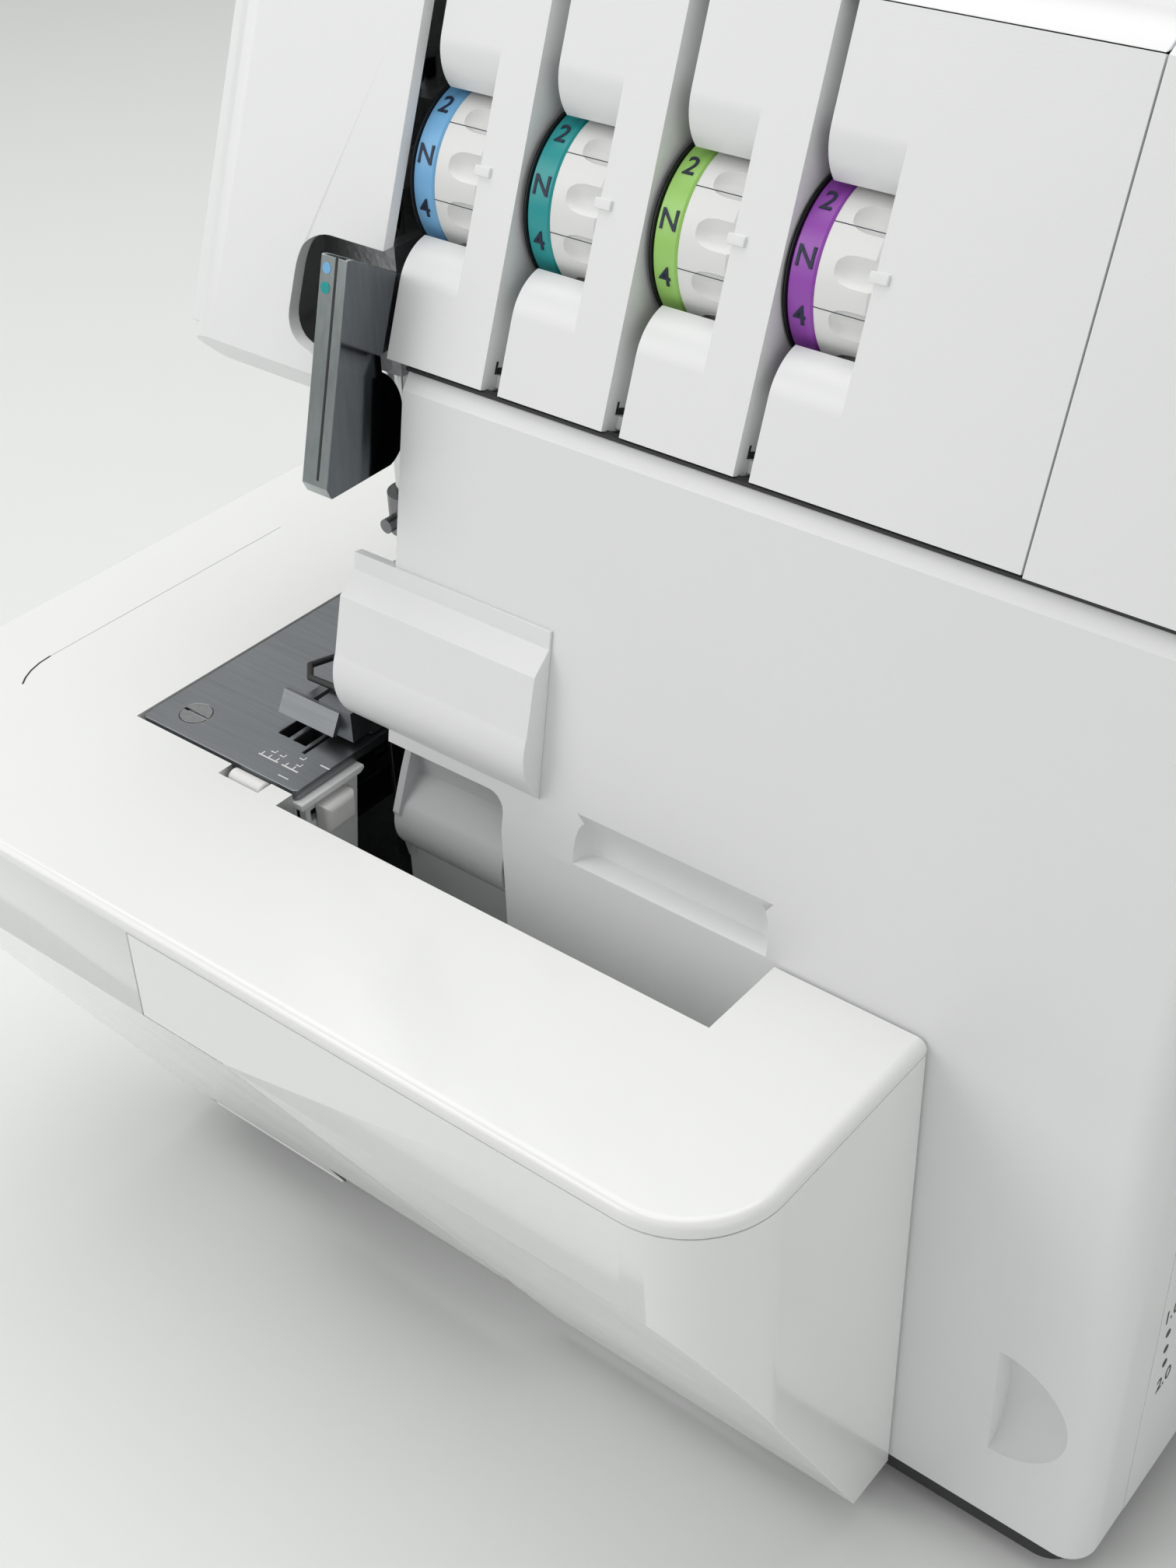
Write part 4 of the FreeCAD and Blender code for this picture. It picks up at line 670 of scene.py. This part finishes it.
def make_channel_hooks():
    """Small thread hooks at the feet of the thread channels, with a thin dark sheet in each hook's mouth as
    painted shade.
    """
    shaded_mouth_outline = [(3.4, 3.2), (3.4, 5.8), (4.7, 5.8), (4.7, 3.8), (5.8, 3.8), (5.8, 3.2)]
    hook_outline = [(0.8, 4.1), (0.8, 5.3), (3.2, 5.3), (3.2, 4.1)]
    for number, right in enumerate(SECTION_ENDS, start=1):
        # the dark sheet in each hook's mouth is painted shade
        mouth = trace("channel_mouth_shade_%d" % number,
                      [on_panel(right, up, deep) for up, deep in shaded_mouth_outline], (0.12, 0, 0))
        edged(mouth, 0.04, 1)
        fitted(mouth, BODY_OF["tension_panel"], "dark_plastic")
        hook = trace("channel_hook_%d" % number,
                     [on_panel(right, up, deep) for up, deep in hook_outline], (1.1, 0, 0))
        edged(hook, 0.2, 2)
        fitted(hook, BODY_OF["tension_panel"], "white_shell")


def make_plate_marks():
    """Width scale on the needle plate: two rules, short ticks and lines."""
    rules = [(-127.4, -121.6, -10.2, 0.35), (-120.4, -115.6, -10.2, 0.35), (-113.6, -110.9, -5.4, 0.35),
             (-118.4, -115.4, -13.2, 0.25)]
    lines = [stroke("rule", [(left, y), (right, y)], width, TABLE_TOP) for left, right, y, width in rules]
    for x in (-126.8, -124.6, -122.4, -119.6, -117.4):
        lines.append(stroke("tick", [(x, -10.1), (x, -8.9)], 0.3, TABLE_TOP))
    for x, y in ((-125.8, -8), (-123.2, -8), (-119, -6.2), (-117.9, -8.4)):
        lines.append(stroke("tick", [(x, y), (x + 1.2, y), (x + 1.2, y + 0.9)], 0.28, TABLE_TOP))
    marks = joined("plate_scale", lines)
    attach(marks, BODY_OF["needle_plate"])
    finish_as(marks, "white_shell")


def make_thread_roll():
    """A white roll between the needle plate and the table, in a notch in the table's edge."""
    left, length, r, edge = -128.0, 9.7, 1.85, 0.3
    outline = [(0, 0), (0, r - edge), (edge, r), (length - edge, r), (length, r - edge), (length, 0)]
    roll = turned("plate_roll", outline, (left, -17.35, TABLE_TOP - 1.9), "X", 32)
    fitted(roll, BODY_OF["needle_plate"], "white_grip")


def make_side_scale():
    """The differential feed scale on the right side: dots between two numbers."""
    side, body = 78.0, BODY_OF["right_end_cover"]
    dots = []
    for y, z in ((23.2, 60.4), (23.8, 55.1), (24.8, 49.8)):
        bpy.ops.object.select_all(action="DESELECT")
        bpy.ops.mesh.primitive_cylinder_add(vertices=24, radius=1.0 * MM, depth=0.12 * MM,
                                            location=at(side + 0.03, y, z),
                                            rotation=(0, math.pi / 2, 0))
        dots.append(edged(settle(bpy.context.active_object), 0.03, 1))
    marks = joined("feed_scale_dots", dots)
    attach(marks, body)
    finish_as(marks, "dark_plastic")
    for name, mark, y, z in (("feed_scale_low", "1.0", 22.9, 66.9), ("feed_scale_high", "2.0", 26.2, 43.4)):
        number = glyph(mark, 5.4, 0.05, at(side + 0.02, y, z), Vector((0, 1, 0)), Vector((0, 0, 1)))
        number.name = name
        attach(number, body)
        finish_as(number, "dark_plastic")


def make_table_line():
    """The hair line of the inset lid on the table's left wing, open at its near end."""
    x, near, far = -194.4, -12.0, 62.0
    line = stroke("lid_line", [(x, near), (x, far)], 0.16, TABLE_TOP)
    fitted(line, BODY_OF["extension_table"], "grey_plastic")
    bend = [(-190.3, -23.4), (-191.9, -21.2), (-193.2, -18.6), (-194.1, -15.4), (x, near)]
    open_end = stroke("lid_line_end", bend, 0.42, TABLE_TOP)
    fitted(open_end, BODY_OF["extension_table"], "dark_plastic")


make_front_cover()
BANDS = ("dial_blue", "dial_teal", "dial_green", "dial_purple")
for number, (left, band) in enumerate(zip(SECTIONS, BANDS), start=1):
    make_tension_dial(number, left, band)
make_tension_discs()
make_guard_details()
# painted shadow strip in the seam under the tension panel
make_seam_shadow_strip()
make_index_marks()
make_channel_hooks()
make_plate_marks()
make_thread_roll()
make_side_scale()
make_table_line()
REBUILT = {"front_cover", "dial_collars",
           "tension_dial_1", "tension_dial_2", "tension_dial_3", "tension_dial_4"}

for node, thing in frame["nodes"].items():
    if node not in EDGES and node not in REBUILT:
        thing.data.materials.clear()
        thing.data.materials.append(FINISH[SLOT_OF[node]])

# ------------------------------------------------------------------ room, light and camera

def make_floor():
    bpy.ops.mesh.primitive_plane_add(size=8, location=(0, 0, -0.0003))
    floor = bpy.context.active_object
    floor.name = "floor"
    floor.data.materials.append(moulded("pale_floor", (0.84, 0.85, 0.845), 0.6, 0.02, 300, vary=0.006))


def soft_light(name, place, aim, width, height, power, colour=(1, 1, 1)):
    bpy.ops.object.light_add(type="AREA", location=place)
    lamp = bpy.context.active_object
    lamp.name = name
    lamp.data.shape = "RECTANGLE"
    lamp.data.size = width
    lamp.data.size_y = height
    lamp.data.energy = power
    lamp.data.color = colour
    lamp.rotation_euler = (Vector(aim) - Vector(place)).to_track_quat("-Z", "Y").to_euler()


def make_camera():
    data = bpy.data.cameras.new("camera")
    camera = bpy.data.objects.new("camera", data)
    bpy.context.collection.objects.link(camera)
    right = Vector((0.779522, 0.625766, -0.02763))
    down = Vector((0.354908, -0.477599, -0.803704))
    ahead = Vector((-0.516126, 0.616698, -0.594388))
    turn = Matrix((right, -down, -ahead)).transposed().to_4x4()
    camera.matrix_world = Matrix.Translation(at(161.379, -245.587, 389.183)) @ turn
    data.sensor_fit = "AUTO"
    data.sensor_width = 36
    data.lens = 47.95
    data.clip_start = 0.01
    bpy.context.scene.camera = camera


make_floor()
make_camera()
soft_light("floor_wash", (-0.55, -0.95, 0.9), (-0.25, -0.45, 0), 0.5, 0.5, 1.3, (1.0, 1.0, 0.99))
soft_light("top_softbox", (-0.25, 0.15, 1.25), (0, 0, 0.15), 1.3, 1.3, 10, (1.0, 0.998, 0.985))
soft_light("front_softbox", (-0.9, -1.0, 0.75), (0, 0, 0.15), 1.0, 0.9, 4.1, (1.0, 1.0, 0.99))
soft_light("right_fill", (1.3, -0.6, 0.6), (0, 0, 0.15), 0.9, 0.9, 1.9, (1.0, 1.0, 0.99))
world = bpy.data.worlds.new("studio")
bpy.context.scene.world = world
world.use_nodes = True
world.node_tree.nodes["Background"].inputs["Color"].default_value = (0.92, 0.93, 0.915, 1)
world.node_tree.nodes["Background"].inputs["Strength"].default_value = 0.42
bpy.context.scene.view_settings.view_transform = "Standard"
